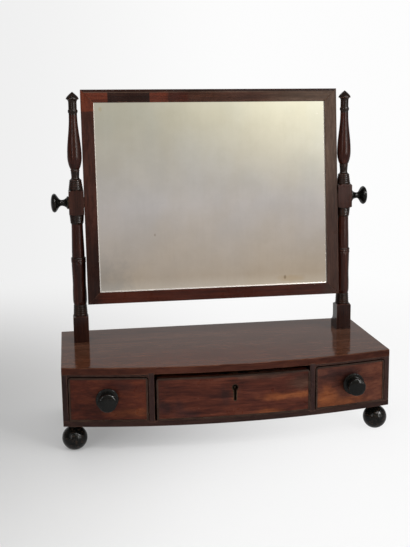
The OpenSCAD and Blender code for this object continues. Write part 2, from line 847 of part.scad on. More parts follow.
// Outline of a drawer front seen from before it, with rounded upper corners
module front_outline(i, inset) {
    x0 = front_x0[i] + inset;
    x1 = front_x1[i] - inset;
    z0 = front_z0 + inset;
    z1 = front_z1[i] - inset;
    r = front_corner_r - inset;
    translate([x0, z0]) square([x1 - x0, z1 - r - z0]);
    translate([x0 + r, z0]) square([x1 - x0 - 2 * r, z1 - z0]);
    for (x = [x0 + r, x1 - r])
        translate([x, z1 - r]) circle(r);
}

// A bowed slab with the outline of a front, from the surface inwards between two depths
module bowed_front(i, inset, d0, d1) {
    intersection() {
        along_y(y_at(case_d + bow + CUT), y_at(case_d - bow - front_t)) front_outline(i, inset);
        difference() {
            behind_bow(d0, front_z0, front_z1[i]);
            behind_bow(d1, front_z0 - CUT, front_z1[i] + CUT);
        }
    }
}

// A frame of the cockbead's width round a front, between two depths from the surface
module edge_band(i, d0, d1) {
    difference() {
        bowed_front(i, 0, d0, d1);
        bowed_front(i, bead_w, d0 - CUT, d1 + CUT);
    }
}

module cockbead(i) {
    color(MAHOGANY) edge_band(i, -bead_proud, bead_d);
}

// The dovetails of one side board at one end, above the drawer bottom, broad at y_tip and narrow at y_root
module tails(i, x0, x1, y_root, y_tip) {
    pitch = (side_z1(i) - floor_z1) / tail_count;
    narrow = tail_w / 2 - tail_slope;
    y_in = y_root + WELD * sign(y_root - y_tip);
    for (k = [0:tail_count - 1])
        translate([0, 0, floor_z1 + pitch * (k + 1 / 2)]) along_x(x0, x1)
            polygon([
                [y_in, -narrow], [y_root, -narrow], [y_tip, -tail_w / 2],
                [y_tip, tail_w / 2], [y_root, narrow], [y_in, narrow],
            ]);
}

// Lapped dovetails into the front, rooted where the side board meets it furthest back
module front_tails(i, x0, x1) {
    root_d = surface_d(max(abs(x0), abs(x1))) - front_t;
    intersection() {
        tails(i, x0, x1, y_at(root_d), y_at(root_d + front_t));
        behind_bow(lap, front_z0, front_z1[i]);
    }
}

// Through dovetails in the back
module back_tails(i, x0, x1) {
    tails(i, x0, x1, drawer_back_y - wall_t, drawer_back_y);
}

// The drawer bottom reaches into the grooves of both sides and of the front
module floor_panel(i) {
    intersection() {
        span(
            [front_x0[i] + wall_t - groove, y_at(case_d + bow), floor_z0],
            [front_x1[i] - wall_t + groove, drawer_back_y, floor_z1]
        );
        behind_bow(front_t - groove, floor_z0, floor_z1);
    }
}

module drawer_floor(i) {
    color(PINE) floor_panel(i);
}

module drawer_side(i, x0) {
    x1 = x0 + wall_t;
    color(PINE) difference() {
        union() {
            difference() {
                intersection() {
                    span([x0, y_at(case_d + bow), front_z0], [x1, drawer_back_y, side_z1(i)]);
                    behind_bow(front_t, front_z0, side_z1(i));
                }
                span(
                    [x0 - CUT, drawer_back_y - wall_t, floor_z1],
                    [x1 + CUT, drawer_back_y + CUT, side_z1(i) + CUT]
                );
            }
            front_tails(i, x0, x1);
            back_tails(i, x0, x1);
        }
        floor_panel(i);
    }
}

module drawer_back(i) {
    x0 = front_x0[i];
    x1 = front_x1[i];
    color(PINE) difference() {
        span([x0, drawer_back_y - wall_t, floor_z1], [x1, drawer_back_y, side_z1(i)]);
        back_tails(i, x0, x0 + wall_t);
        back_tails(i, x1 - wall_t, x1);
    }
}

module drawer_front(i) {
    x0 = front_x0[i];
    x1 = front_x1[i];
    color(FIGURED) difference() {
        bowed_front(i, 0, 0, front_t);
        edge_band(i, -CUT, bead_d);
        front_tails(i, x0, x0 + wall_t);
        front_tails(i, x1 - wall_t, x1);
        floor_panel(i);
        if (i == MIDDLE) {
            lock_space();
            keyhole_space();
        } else {
            knob_space(i - MIDDLE);
        }
    }
}

// Drawer knobs

// Places children, drawn on Z from the seat outwards, on the right-hand or left-hand knob's axis
module on_knob(side) {
    seat_d = surface_d(knob_x + knob_collar_r);
    translate([side * knob_x, y_at(seat_d), bay_z + knob_z]) rotate([90, 0, 0]) children();
}

// The collar is sunk square into the curved front, and the tenon goes on into the wood
module knob_space(side) {
    on_knob(side) {
        cylinder(r = knob_collar_r + knob_seat_play, h = front_t);
        translate([0, 0, -knob_tenon_l]) cylinder(r = knob_tenon_r, h = knob_tenon_l + CUT);
    }
}

// Collar, neck and a broad rim, from which a boss widens again to a domed end
module drawer_knob(side) {
    sunk = surface_d(knob_x) - surface_d(knob_x + knob_collar_r);
    length = sunk + knob_l;
    collar_z = sunk + knob_collar_t;
    rim_z = sunk + knob_rim_z;
    boss_z = rim_z + knob_rim_t;
    dome_z = length - knob_boss_h;
    rim_r = knob_r - RIM_BULGE * knob_rim_t;
    neck_z = (collar_z + rim_z) / 2;
    color(EBONISED) on_knob(side) turned(concat(
        [[knob_tenon_r, -knob_tenon_l], [knob_tenon_r, 0], [knob_collar_r, 0], [knob_collar_r, collar_z]],
        swell(collar_z + ring_proud, knob_collar_r - fillet_h, neck_z, knob_neck_r),
        flare(neck_z + ring_proud, knob_neck_r, rim_z, rim_r),
        ring(rim_z, knob_rim_t, rim_r, RIM_BULGE * knob_rim_t),
        sweep(boss_z + ring_proud, knob_waist_r, dome_z - ring_proud, knob_boss_r),
        dome(dome_z, knob_boss_h, knob_boss_r)
    ));
}

// Lock

// Everything that the lock takes out of the front, open towards the back and the top
module lock_space() {
    span(
        [lock_x - lock_w / 2, lock_front_y, lock_z0],
        [lock_x + lock_w / 2, lock_back_y + CUT, lock_z1 + CUT]
    );
}

module bolt_outline(play) {
    square([bolt_w + 2 * play, bolt_t + 2 * play], center = true);
}

// The case, with the slot that the bolt rises in, and the pin that the key's barrel turns on
module lock_case() {
    pin_y0 = y_at(surface_d(0)) + escutcheon_d;
    pin_y1 = lock_front_y + selvedge_t;
    color(BRASS) {
        difference() {
            span([lock_x - lock_w / 2, lock_front_y, lock_z0], [lock_x + lock_w / 2, lock_back_y, lock_z1]);
            translate([lock_x, bolt_y, lock_z1 - bolt_h - bolt_play])
                linear_extrude(bolt_h + bolt_play + CUT) bolt_outline(bolt_play);
            along_y(lock_front_y - CUT, pin_y1) at_key() circle(escutcheon_r - escutcheon_wall);
        }
        along_y(pin_y0, pin_y1 + WELD) at_key() circle(key_pin_r);
    }
}

module lock_bolt() {
    color(BRASS) translate([lock_x, bolt_y, lock_z1 - bolt_h]) linear_extrude(bolt_h) bolt_outline(0);
}

// Places an outline in X and Z on the middle of the keyhole's round head
module at_key() {
    translate([lock_x, key_head_z]) children();
}

// A keyhole outline: a round head over a stem that narrows to a round foot
module keyhole(inset) {
    half = escutcheon_stem_w / 2 - inset;
    foot_half = half - escutcheon_taper;
    foot_z = escutcheon_r - escutcheon_h + inset + foot_half;
    at_key() union() {
        circle(escutcheon_r - inset);
        polygon([[half, 0], [-half, 0], [-foot_half, foot_z], [foot_half, foot_z]]);
        translate([0, foot_z]) rotate(-90) circle(foot_half);
    }
}

module escutcheon() {
    color(BRASS) along_y(escutcheon_y, escutcheon_y + escutcheon_d) difference() {
        keyhole(0);
        keyhole(escutcheon_wall);
    }
}

// The escutcheon's bed, and the way on through the wood to the lock
module keyhole_space() {
    along_y(escutcheon_y - CUT, escutcheon_y + escutcheon_d) keyhole(0);
    along_y(escutcheon_y, lock_front_y + CUT) keyhole(escutcheon_wall);
}

top_board();
bottom_board();
case_side(-1);  // side_left
case_side(1);  // side_right
back_board();
divider(-1);  // divider_left
divider(1);  // divider_right
top_strip(-1);  // top_strip_left
top_strip(1);  // top_strip_right
foot(-foot_x, foot_front_y);  // foot_front_left
foot(foot_x, foot_front_y);  // foot_front_right
foot(-foot_x, foot_back_y);  // foot_back_left
foot(foot_x, foot_back_y);  // foot_back_right
post(-1);  // post_left
post(1);  // post_right
bracket(-1);  // bracket_left
bracket(1);  // bracket_right
inner_washer(-1);  // inner_washer_left
inner_washer(1);  // inner_washer_right
frame_rail(top_rail_w, frame_up, true);  // frame_top_rail
frame_rail(bottom_rail_w, -frame_down, false);  // frame_bottom_rail
frame_stile(-1);  // frame_stile_left
frame_stile(1);  // frame_stile_right
mirror_glass();
mirror_back();
nut_plate(-1);  // nut_plate_left
nut_plate(1);  // nut_plate_right
outer_washer(-1);  // outer_washer_left
outer_washer(1);  // outer_washer_right
swing_screw(-1);  // swing_screw_left
swing_screw(1);  // swing_screw_right
swing_knob(-1);  // swing_knob_left
swing_knob(1);  // swing_knob_right
drawer_front(LEFT);  // left_front
cockbead(LEFT);  // left_cockbead
drawer_side(LEFT, front_x0[LEFT]);  // left_side_outer
drawer_side(LEFT, front_x1[LEFT] - wall_t);  // left_side_inner
drawer_back(LEFT);  // left_back
drawer_floor(LEFT);  // left_floor
drawer_knob(-1);  // left_knob
drawer_front(MIDDLE);  // middle_front
cockbead(MIDDLE);  // middle_cockbead
drawer_side(MIDDLE, front_x0[MIDDLE]);  // middle_side_left
drawer_side(MIDDLE, front_x1[MIDDLE] - wall_t);  // middle_side_right
drawer_back(MIDDLE);  // middle_back
drawer_floor(MIDDLE);  // middle_floor
escutcheon();
lock_case();
lock_bolt();
drawer_front(RIGHT);  // right_front
cockbead(RIGHT);  // right_cockbead
drawer_side(RIGHT, front_x1[RIGHT] - wall_t);  // right_side_outer
drawer_side(RIGHT, front_x0[RIGHT]);  // right_side_inner
drawer_back(RIGHT);  // right_back
drawer_floor(RIGHT);  // right_floor
drawer_knob(1);  // right_knob
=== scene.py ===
# %% [markdown]
# # A dressing-table mirror in mahogany
# A toilet mirror stands on a chest or a dressing table: a bow-fronted box of three small drawers
# carries two turned posts, and a framed glass swings between them. The CAD model gives every solid
# its true size. This script loads it as a fixed frame and adds what only shows up in a picture:
# eased edges, old French polish, figured veneer, foxed silvering, small pins and screws, and light.

# %% Load the frame
import json
import math

import bmesh
import bpy
from mathutils import Matrix, Vector

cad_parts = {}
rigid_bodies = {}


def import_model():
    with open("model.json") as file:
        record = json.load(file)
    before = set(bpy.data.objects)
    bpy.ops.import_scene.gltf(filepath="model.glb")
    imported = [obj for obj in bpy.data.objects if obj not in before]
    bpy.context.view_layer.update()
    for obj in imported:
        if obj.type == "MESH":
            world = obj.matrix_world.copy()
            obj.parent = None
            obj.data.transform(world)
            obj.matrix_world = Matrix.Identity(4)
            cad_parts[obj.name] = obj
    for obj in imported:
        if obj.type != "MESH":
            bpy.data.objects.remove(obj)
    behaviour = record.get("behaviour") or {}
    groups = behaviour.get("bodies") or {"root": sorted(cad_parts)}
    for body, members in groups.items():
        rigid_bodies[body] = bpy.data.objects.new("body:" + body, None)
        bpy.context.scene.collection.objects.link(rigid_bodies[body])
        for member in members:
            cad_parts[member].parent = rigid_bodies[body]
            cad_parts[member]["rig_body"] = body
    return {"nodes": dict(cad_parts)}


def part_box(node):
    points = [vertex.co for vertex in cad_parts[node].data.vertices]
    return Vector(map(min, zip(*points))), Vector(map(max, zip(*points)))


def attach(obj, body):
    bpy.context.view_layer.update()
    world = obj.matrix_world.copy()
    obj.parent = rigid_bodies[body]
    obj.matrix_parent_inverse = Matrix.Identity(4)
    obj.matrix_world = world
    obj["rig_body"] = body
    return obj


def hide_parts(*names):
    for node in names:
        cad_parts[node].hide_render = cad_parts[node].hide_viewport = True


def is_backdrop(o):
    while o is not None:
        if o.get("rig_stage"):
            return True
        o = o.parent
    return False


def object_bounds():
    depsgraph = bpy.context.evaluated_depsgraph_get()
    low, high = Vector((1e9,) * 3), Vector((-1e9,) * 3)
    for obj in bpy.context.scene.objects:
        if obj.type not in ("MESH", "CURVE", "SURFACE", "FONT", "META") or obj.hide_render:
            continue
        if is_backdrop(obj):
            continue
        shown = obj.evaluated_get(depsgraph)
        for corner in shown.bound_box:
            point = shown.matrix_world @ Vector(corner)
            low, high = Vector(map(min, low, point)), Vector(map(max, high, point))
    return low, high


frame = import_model()
nodes = frame["nodes"]
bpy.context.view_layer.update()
MM = 0.001
scene = bpy.context.scene


def put(name, data):
    thing = bpy.data.objects.new(name, data)
    scene.collection.objects.link(thing)
    return thing


# %% [markdown]
# ## Camera
# The photograph looks slightly down on the mirror from the left, from about one and a half metres.
# A camera turned by eye is given away by straight edges. So its place and directions were fitted to
# the corners that the photograph shows, and are written as numbers.

# %% Set the camera
CAMERA_PLACE = Vector((-0.21883, -1.37229, 0.49787))
CAMERA_RIGHT = Vector((0.982744, -0.184872, -0.006088))
CAMERA_UP = Vector((0.040288, 0.181811, 0.982508))
CAMERA_AHEAD = Vector((0.180531, 0.965799, -0.186121))
LENS_MM = 61.82
SENSOR_MM = 36
SHIFT_X = -0.0731
NEAREST, FURTHEST = 0.05, 60

camera_data = bpy.data.cameras.new("camera")
camera_data.sensor_width = SENSOR_MM
camera_data.lens = LENS_MM
camera_data.shift_x = SHIFT_X
camera_data.clip_start = NEAREST
camera_data.clip_end = FURTHEST
camera = put("camera", camera_data)
camera_axes = Matrix((CAMERA_RIGHT, CAMERA_UP, -CAMERA_AHEAD)).transposed().to_4x4()
camera.matrix_world = Matrix.Translation(CAMERA_PLACE) @ camera_axes
scene.camera = camera
print("camera at", tuple(round(value, 3) for value in CAMERA_PLACE))

# %% [markdown]
# ## Building blocks for finishes
# Every finish is worked out by nodes from the place of a point on the piece, so it has no seams and
# no images. One small helper adds a node, sets its values and joins its inputs, which keeps each
# finish readable as a list of steps.


# %% Helpers for node trees
def fill(tree, node, inputs):
    for name, value in inputs.items():
        socket = node.inputs[name]
        if isinstance(value, bpy.types.NodeSocket):
            tree.links.new(value, socket)
        else:
            socket.default_value = value


def add(tree, kind, inputs=None, **settings):
    node = tree.nodes.new(kind)
    for name, value in settings.items():
        setattr(node, name, value)
    fill(tree, node, inputs or {})
    return node


def first(tree, kind, inputs=None, **settings):
    return add(tree, kind, inputs, **settings).outputs[0]


def tell(tree):
    print(tree.name, "has", len(tree.nodes), "nodes")


def new_group(kind, name, inputs, outputs):
    tree = bpy.data.node_groups.new(name, kind)
    for label, (socket_kind, default) in inputs.items():
        socket = tree.interface.new_socket(label, in_out="INPUT", socket_type=socket_kind)
        if default is not None:
            socket.default_value = default
    for label, socket_kind in outputs.items():
        tree.interface.new_socket(label, in_out="OUTPUT", socket_type=socket_kind)
    return tree, tree.nodes.new("NodeGroupInput").outputs, tree.nodes.new("NodeGroupOutput")


# %% Sums, ranges and mixtures
def math_node(tree, operation, a, b=0.0, clamp=False):
    return first(tree, "ShaderNodeMath", {0: a, 1: b}, operation=operation, use_clamp=clamp)


def plus(tree, a, b, clamp=False):
    return math_node(tree, "ADD", a, b, clamp)


def minus(tree, a, b, clamp=False):
    return math_node(tree, "SUBTRACT", a, b, clamp)


def times(tree, a, b):
    return math_node(tree, "MULTIPLY", a, b)


def vector_math(tree, operation, a, b=(0, 0, 0)):
    node = add(tree, "ShaderNodeVectorMath", {0: a, 1: b}, operation=operation)
    return node.outputs["Value" if operation in ("LENGTH", "DOT_PRODUCT") else "Vector"]


def map_range(tree, value, low, high, to_low=0.0, to_high=1.0, kind="SMOOTHSTEP"):
    names = ("Value", "From Min", "From Max", "To Min", "To Max")
    inputs = dict(zip(names, (value, low, high, to_low, to_high)))
    return first(tree, "ShaderNodeMapRange", inputs, interpolation_type=kind)


def mix(tree, factor, a, b):
    return first(tree, "ShaderNodeMix", {0: factor, 2: a, 3: b})


def blend(tree, factor, a, b, mode="MIX"):
    a, b = [(*value, 1) if isinstance(value, tuple) else value for value in (a, b)]
    inputs = {0: factor, 6: a, 7: b}
    return add(tree, "ShaderNodeMix", inputs, data_type="RGBA", blend_type=mode).outputs[2]


def colour_ramp(tree, factor, stops):
    ramp = add(tree, "ShaderNodeValToRGB", {0: factor})
    elements = ramp.color_ramp.elements
    ends = [elements[0], elements[1]]
    for element, (place, colour) in zip(ends, (stops[0], stops[-1])):
        element.position = place
        element.color = (*colour, 1)
    for place, colour in stops[1:-1]:
        elements.new(place).color = (*colour, 1)
    return ramp.outputs["Color"]


# %% Places and noises
def own_place(tree):
    return add(tree, "ShaderNodeTexCoord").outputs["Object"]


def axes_of(tree, vector):
    return add(tree, "ShaderNodeSeparateXYZ", {0: vector}).outputs


def away_from(tree, place, centre, reach):
    away = vector_math(tree, "SUBTRACT", place, centre)
    return vector_math(tree, "LENGTH", vector_math(tree, "DIVIDE", away, reach))


def noise(tree, vector, seed, scale, detail=3.0, roughness=0.55, distortion=0.0, turn=0.0):
    inputs = {"Vector": vector, "Rotation": (0, 0, turn), "Scale": scale}
    stretched = first(tree, "ShaderNodeMapping", inputs)
    inputs = {"Vector": stretched, "W": seed, "Scale": 1.0, "Detail": detail}
    inputs.update({"Roughness": roughness, "Distortion": distortion})
    return first(tree, "ShaderNodeTexNoise", inputs, noise_dimensions="4D")


def bumped(tree, strength, distance, height):
    inputs = {"Strength": strength, "Distance": distance, "Height": height}
    return first(tree, "ShaderNodeBump", inputs)


# %% [markdown]
# ## Wood grain
# Mahogany shows three things at arm's length: long soft streaks, a slow light and dark figure where
# the grain leans in and out, and short open pores. A wave texture would repeat. Noise pulled out
# along the grain does not: three noises at three scales make one tone, a fourth makes the figure,
# and a fifth, very long and thin, the pores.

# %% The wood grain group
FLOAT = "NodeSocketFloat"
STREAKS = dict(scale=(13, 300, 300), detail=4, roughness=0.6, distortion=0.4)
BANDS = dict(scale=(3, 42, 42), detail=3, roughness=0.5, distortion=0.8)
FINE = dict(scale=(45, 720, 720), detail=2)
FLAMES = dict(scale=(13, 62, 62), detail=3, roughness=0.55, distortion=1.6)
PORES = dict(scale=(130, 1900, 1900), detail=1)
STREAK_SHARE, BAND_SHARE, FINE_SHARE = 0.42, 0.33, 0.25
TONE_RANGE = (0.35, 0.65)
PORE_RANGE = (0.6, 0.72)


def finish_group(name, floats, outputs):
    inputs = {"Vector": ("NodeSocketVector", None), "Seed": (FLOAT, 0.0)}
    inputs.update({label: (FLOAT, default) for label, default in floats.items()})
    return new_group("ShaderNodeTree", name, inputs, dict.fromkeys(outputs, FLOAT))


def build_grain():
    tree, given, result = finish_group("Wood grain", {"Figure": 0.3}, ("Tone", "Pores"))
    vector, seed = given["Vector"], given["Seed"]
    streaks = times(tree, noise(tree, vector, seed, **STREAKS), STREAK_SHARE)
    bands = times(tree, noise(tree, vector, seed, **BANDS), BAND_SHARE)
    fine = times(tree, noise(tree, vector, seed, **FINE), FINE_SHARE)
    grain = plus(tree, plus(tree, streaks, bands), fine)
    flames = noise(tree, vector, seed, **FLAMES)
    tone = map_range(tree, mix(tree, given["Figure"], grain, flames), *TONE_RANGE)
    pores = map_range(tree, noise(tree, vector, seed, **PORES), *PORE_RANGE)
    fill(tree, result, {"Tone": tone, "Pores": pores})
    return tree


wood_grain = build_grain()
tell(wood_grain)

# %% [markdown]
# ## Wear, dirt and painted shade
# Hands and dusters polish the corners of old furniture pale, while wax and dirt stay in hollows.
# The Bevel node finds corners: where a rounded normal leaves the true one, there is an edge.
# Ambient occlusion finds the hollows, and darkening them is dirt and painted shade at once. Noise
# breaks the wear up, because real wear is never even.

# %% The wear group
WEAR_RADIUS = 1.6 * MM
HOLLOW_REACH = 7 * MM
PATCHES = dict(scale=(55, 55, 55), detail=4, roughness=0.65)
CORNER_RANGE = (0.995, 0.9)
PATCH_RANGE = (0.38, 0.62)
HOLLOW_RANGE = (0.75, 0.15)


def build_wear():
    tree, given, result = finish_group("Wear, dirt and shade", {"Amount": 0.5}, ("Edges", "Hollows"))
    true_normal = add(tree, "ShaderNodeNewGeometry").outputs["True Normal"]
    rounded = first(tree, "ShaderNodeBevel", {"Radius": WEAR_RADIUS}, samples=4)
    match = vector_math(tree, "DOT_PRODUCT", true_normal, rounded)
    patches = noise(tree, given["Vector"], given["Seed"], **PATCHES)
    corners = map_range(tree, match, *CORNER_RANGE)
    marked = times(tree, corners, map_range(tree, patches, *PATCH_RANGE))
    # Painted shade: ambient occlusion darkens the hollows, along with the dirt in them.
    near = add(tree, "ShaderNodeAmbientOcclusion", {"Distance": HOLLOW_REACH}, samples=4)
    hollows = map_range(tree, near.outputs["AO"], *HOLLOW_RANGE)
    fill(tree, result, {"Edges": times(tree, marked, given["Amount"]), "Hollows": hollows})
    return tree


wear_dirt_and_shade = build_wear()
tell(wear_dirt_and_shade)

# %% [markdown]
# ## Polish
# French polish is thin shellac, rubbed until it shines. Two centuries later it is unevenly glossy:
# bare in rubbed places, crossed by fine scratches that run mostly along the wiping hand. This group
# gives a roughness that drifts, and thin lines for the scratches.

# %% The polish group
CLOUDS = dict(scale=(24, 24, 24), detail=5, roughness=0.6, distortion=0.5)
SCRATCHES = dict(scale=(14, 520, 520), detail=2, roughness=0.5, distortion=0.2, turn=0.35)
CLOUD_RANGE = (0.35, 0.65)
SCRATCH_RANGE = (0.66, 0.74)
SCRATCH_DULLS = 0.4


def build_polish():
    gloss = {"Glossiest": 0.25, "Dullest": 0.45}
    tree, given, result = finish_group("Old polish", gloss, ("Roughness", "Scratches"))
    vector, seed = given["Vector"], given["Seed"]
    clouds = map_range(tree, noise(tree, vector, seed, **CLOUDS), *CLOUD_RANGE)
    scratches = map_range(tree, noise(tree, vector, seed, **SCRATCHES), *SCRATCH_RANGE)
    share = plus(tree, clouds, times(tree, scratches, SCRATCH_DULLS), clamp=True)
    roughness = mix(tree, share, given["Glossiest"], given["Dullest"])
    fill(tree, result, {"Roughness": roughness, "Scratches": scratches})
    return tree


old_polish = build_polish()
tell(old_polish)

# %% [markdown]
# ## Places on a piece
# Old veneer is laid in pieces, wood darkens or wears where it is touched, and in a few places shade
# is painted in. All need a finish that differs by place. A band runs across a piece between two
# coordinates, a blot is soft and ragged round a point, and flecks are chips and scratches strewn
# over a surface. Bands and blots wander with a noise, because nothing on old wood is ruled.

# %% Masks for places
RIPPLE = dict(scale=(70, 70, 70), detail=3)
RAGGED_EDGE = dict(scale=(70, 70, 70), detail=4, roughness=0.6)
BLOT_CORE = 0.2
FLECK_LEVEL, FLECK_SOFT = 0.72, 0.04


def band(axis, low, high, soft, wander=0.0, seed=1.0):
    def mask(tree):
        place = own_place(tree)
        ripple = minus(tree, noise(tree, place, seed, **RIPPLE), 0.5)
        value = plus(tree, axes_of(tree, place)[axis], times(tree, ripple, wander))
        rise = map_range(tree, value, low - soft, low + soft)
        fall = map_range(tree, value, high + soft, high - soft)
        return times(tree, rise, fall)

    return mask


def blot(centre, reach, seed=1.0, ragged=1.2, strength=1.0):
    def mask(tree):
        place = own_place(tree)
        rough_edge = minus(tree, noise(tree, place, seed, **RAGGED_EDGE), 0.5)
        away = plus(tree, away_from(tree, place, centre, reach), times(tree, rough_edge, ragged))
        return map_range(tree, away, 1.0, BLOT_CORE, 0.0, strength)

    return mask


def flecks(size, share, seed=1.0, within=None):
    def mask(tree):
        scale = [1 / (length * MM) for length in size]
        grains = noise(tree, own_place(tree), seed, scale, detail=2)
        level = FLECK_LEVEL - share
        spots = map_range(tree, grains, level, level + FLECK_SOFT)
        return times(tree, spots, within(tree)) if within else spots

    return mask


# %% [markdown]
# ## Polished and bare wood
# One function makes every wood finish from its own colours, grain direction and gloss. Grain runs
# along a board, so the coordinates are first turned to bring its length onto the first axis. Each
# wood has three shades, dark, middle and light, and can change to others in places. An old shellac
# film shines softly, so the mirrored light is low and broad, and the colour deep.

# %% A wood finish
DEEPEST = 0.3
PORE_DEPTH = 0.5
WOOD_RELIEF = 0.12 * MM


def place_on(tree, along):
    if along == 0:
        return own_place(tree)
    axes = axes_of(tree, own_place(tree))
    order = [along] + [axis for axis in range(3) if axis != along]
    inputs = {number: axes[axis] for number, axis in enumerate(order)}
    return first(tree, "ShaderNodeCombineXYZ", inputs)


def new_material(name):
    material = bpy.data.materials.new(name)
    material.use_nodes = True
    tree = material.node_tree
    return material, tree, tree.nodes["Principled BSDF"]


def layer(tree, group, vector, seed, **inputs):
    inputs = {"Vector": vector, "Seed": seed, **inputs}
    return add(tree, "ShaderNodeGroup", inputs, node_tree=group).outputs


def shade_ramp(tree, tone, shades):
    return colour_ramp(tree, tone, list(zip((0.0, 0.5, 1.0), shades)))


def wood(
    name, along, shades, places=(), seed=0.0, figure=0.25, gloss=(0.26, 0.44), shine=0.12,
    wear=0.5, worn_colour=(0.16, 0.075, 0.045), dirt_and_shade=0.6, bump=0.25,
):
    material, tree, shader = new_material(name)
    vector = place_on(tree, along)
    grain = layer(tree, wood_grain, vector, seed, Figure=figure)
    marked = layer(tree, wear_dirt_and_shade, vector, seed, Amount=wear)
    polish = layer(tree, old_polish, vector, seed, Glossiest=gloss[0], Dullest=gloss[1])
    colour = shade_ramp(tree, grain["Tone"], shades)
    for mask, other_shades in places:
        colour = blend(tree, mask(tree), colour, shade_ramp(tree, grain["Tone"], other_shades))
    deepest = tuple(value * DEEPEST for value in shades[0])
    colour = blend(tree, times(tree, grain["Pores"], PORE_DEPTH), colour, deepest)
    colour = blend(tree, marked["Edges"], colour, worn_colour)
    # Darker hollows: dirt, and painted shade as well.
    colour = blend(tree, times(tree, marked["Hollows"], dirt_and_shade), colour, deepest)
    height = minus(tree, minus(tree, grain["Tone"], grain["Pores"]), polish["Scratches"])
    values = {"Base Color": colour, "Roughness": polish["Roughness"], "Specular IOR Level": shine}
    fill(tree, shader, {**values, "Normal": bumped(tree, bump, WOOD_RELIEF, height)})
    return material


# %% [markdown]
# ## The woods of this mirror
# The show wood is mahogany, from nearly black-brown on the posts to red on the drawer fronts. The
# mirror frame is veneered in short pieces across the grain, so its colour steps along it. Knobs and
# feet are ebonised: stained black and polished. Inside, where nobody looks, drawers and backs are
# bare softwood, browned by age.

# %% Shades of wood
BROWN = ((0.0216, 0.0072, 0.00495), (0.0432, 0.0135, 0.00855), (0.0675, 0.0225, 0.0135))
EDGE_DARK = ((0.012, 0.006, 0.0055), (0.022, 0.01, 0.0085), (0.034, 0.015, 0.012))
POST = ((0.0088, 0.00242, 0.00154), (0.0253, 0.00572, 0.00308), (0.0506, 0.0121, 0.00605))
# Painted shade for the grooves of the turned rings, and the dark colour of the cap.
RING_SHADE = ((0.005, 0.003, 0.0022), (0.011, 0.006, 0.0042), (0.024, 0.011, 0.007))
BLOCKS = ((0.01584, 0.00528, 0.00352), (0.02992, 0.00968, 0.0066), (0.0484, 0.0176, 0.01144))
RED_CORNER = ((0.047, 0.009, 0.004), (0.088, 0.0175, 0.0075), (0.13, 0.031, 0.013))
BLACK_BROWN = ((0.008, 0.0024, 0.0015), (0.015, 0.0045, 0.003), (0.027, 0.009, 0.0055))
RAIL = ((0.02064, 0.00645, 0.00344), (0.03784, 0.01247, 0.00645), (0.0602, 0.02064, 0.01075))
LOW_RAIL = ((0.02, 0.0035, 0.0015), (0.039, 0.0072, 0.0032), (0.066, 0.0135, 0.006))
GREY_BROWN = ((0.0368, 0.0193, 0.0115), (0.0699, 0.0396, 0.0258), (0.103, 0.0644, 0.0442))
LEFT_STILE = ((0.0167, 0.0056, 0.0037), (0.0335, 0.0107, 0.007), (0.0558, 0.0177, 0.0112))
RIGHT_STILE = ((0.018, 0.007, 0.0045), (0.0344, 0.0135, 0.0086), (0.0549, 0.0246, 0.0168))
LEFT_FRONT = ((0.023, 0.0046, 0.00276), (0.0552, 0.0115, 0.00552), (0.0966, 0.023, 0.01012))
MIDDLE_FRONT = ((0.0216, 0.005, 0.0032), (0.0576, 0.0131, 0.0068), (0.1008, 0.027, 0.0131))
RIGHT_FRONT = ((0.0279, 0.0074, 0.0047), (0.0698, 0.0195, 0.0107), (0.1163, 0.0381, 0.02))
ORANGE = ((0.08, 0.0205, 0.0072), (0.148, 0.0415, 0.0132), (0.215, 0.067, 0.0215))
# Dark patches in the middle front's wood, and painted shade on the side fronts.
STAIN_AND_SHADE = ((0.01, 0.004, 0.0035), (0.024, 0.008, 0.007), (0.045, 0.014, 0.012))
GREYER_TOP = ((0.03, 0.013, 0.008), (0.055, 0.026, 0.017), (0.09, 0.048, 0.032))
BEAD = ((0.014, 0.007, 0.005), (0.026, 0.013, 0.009), (0.045, 0.024, 0.016))
CASE_TOP = ((0.042, 0.016, 0.0085), (0.074, 0.03, 0.017), (0.11, 0.048, 0.029))
RED_TOP = ((0.044, 0.011, 0.004), (0.073, 0.0185, 0.006), (0.11, 0.034, 0.014))
CASE_BOTTOM = ((0.01, 0.0042, 0.0032), (0.02, 0.0082, 0.0062), (0.032, 0.0135, 0.01))
CHIPPED = ((0.2, 0.13, 0.085), (0.28, 0.19, 0.13), (0.36, 0.26, 0.19))
RUBBED = ((0.012, 0.008, 0.006), (0.02, 0.0125, 0.0085), (0.034, 0.021, 0.014))
BLACKENED = ((0.002, 0.002, 0.0018), (0.0035, 0.0035, 0.003), (0.008, 0.0072, 0.006))
LINING = ((0.24, 0.13, 0.06), (0.36, 0.21, 0.1), (0.45, 0.28, 0.14))
BARE = ((0.19, 0.1, 0.045), (0.32, 0.18, 0.085), (0.42, 0.26, 0.13))
AGED = ((0.1, 0.05, 0.023), (0.17, 0.09, 0.042), (0.24, 0.14, 0.07))

# %% Marks on the case, the posts and the mirror frame
ALONG_X, ALONG_Y, ALONG_Z = 0, 1, 2
FAR = 1.0
CASE_TOP_Z = 0.126
# Zones of painted shade over the ring stacks and necks of the posts, and over the cap.
RING_SHADE_ZONES = ((0.1665, 0.185), (0.2562, 0.2578), (0.3085, 0.323), (0.3595, 0.392), (0.471, 0.52))
FOOT_BLOCK = (0.126, 0.1655)
SWING_BLOCK = (0.3235, 0.3585)


def on_top(x, y, reach_x, reach_y, seed, ragged, strength=1.0):
    return blot((x, y, CASE_TOP_Z), (reach_x, reach_y, 0.1), seed, ragged, strength)


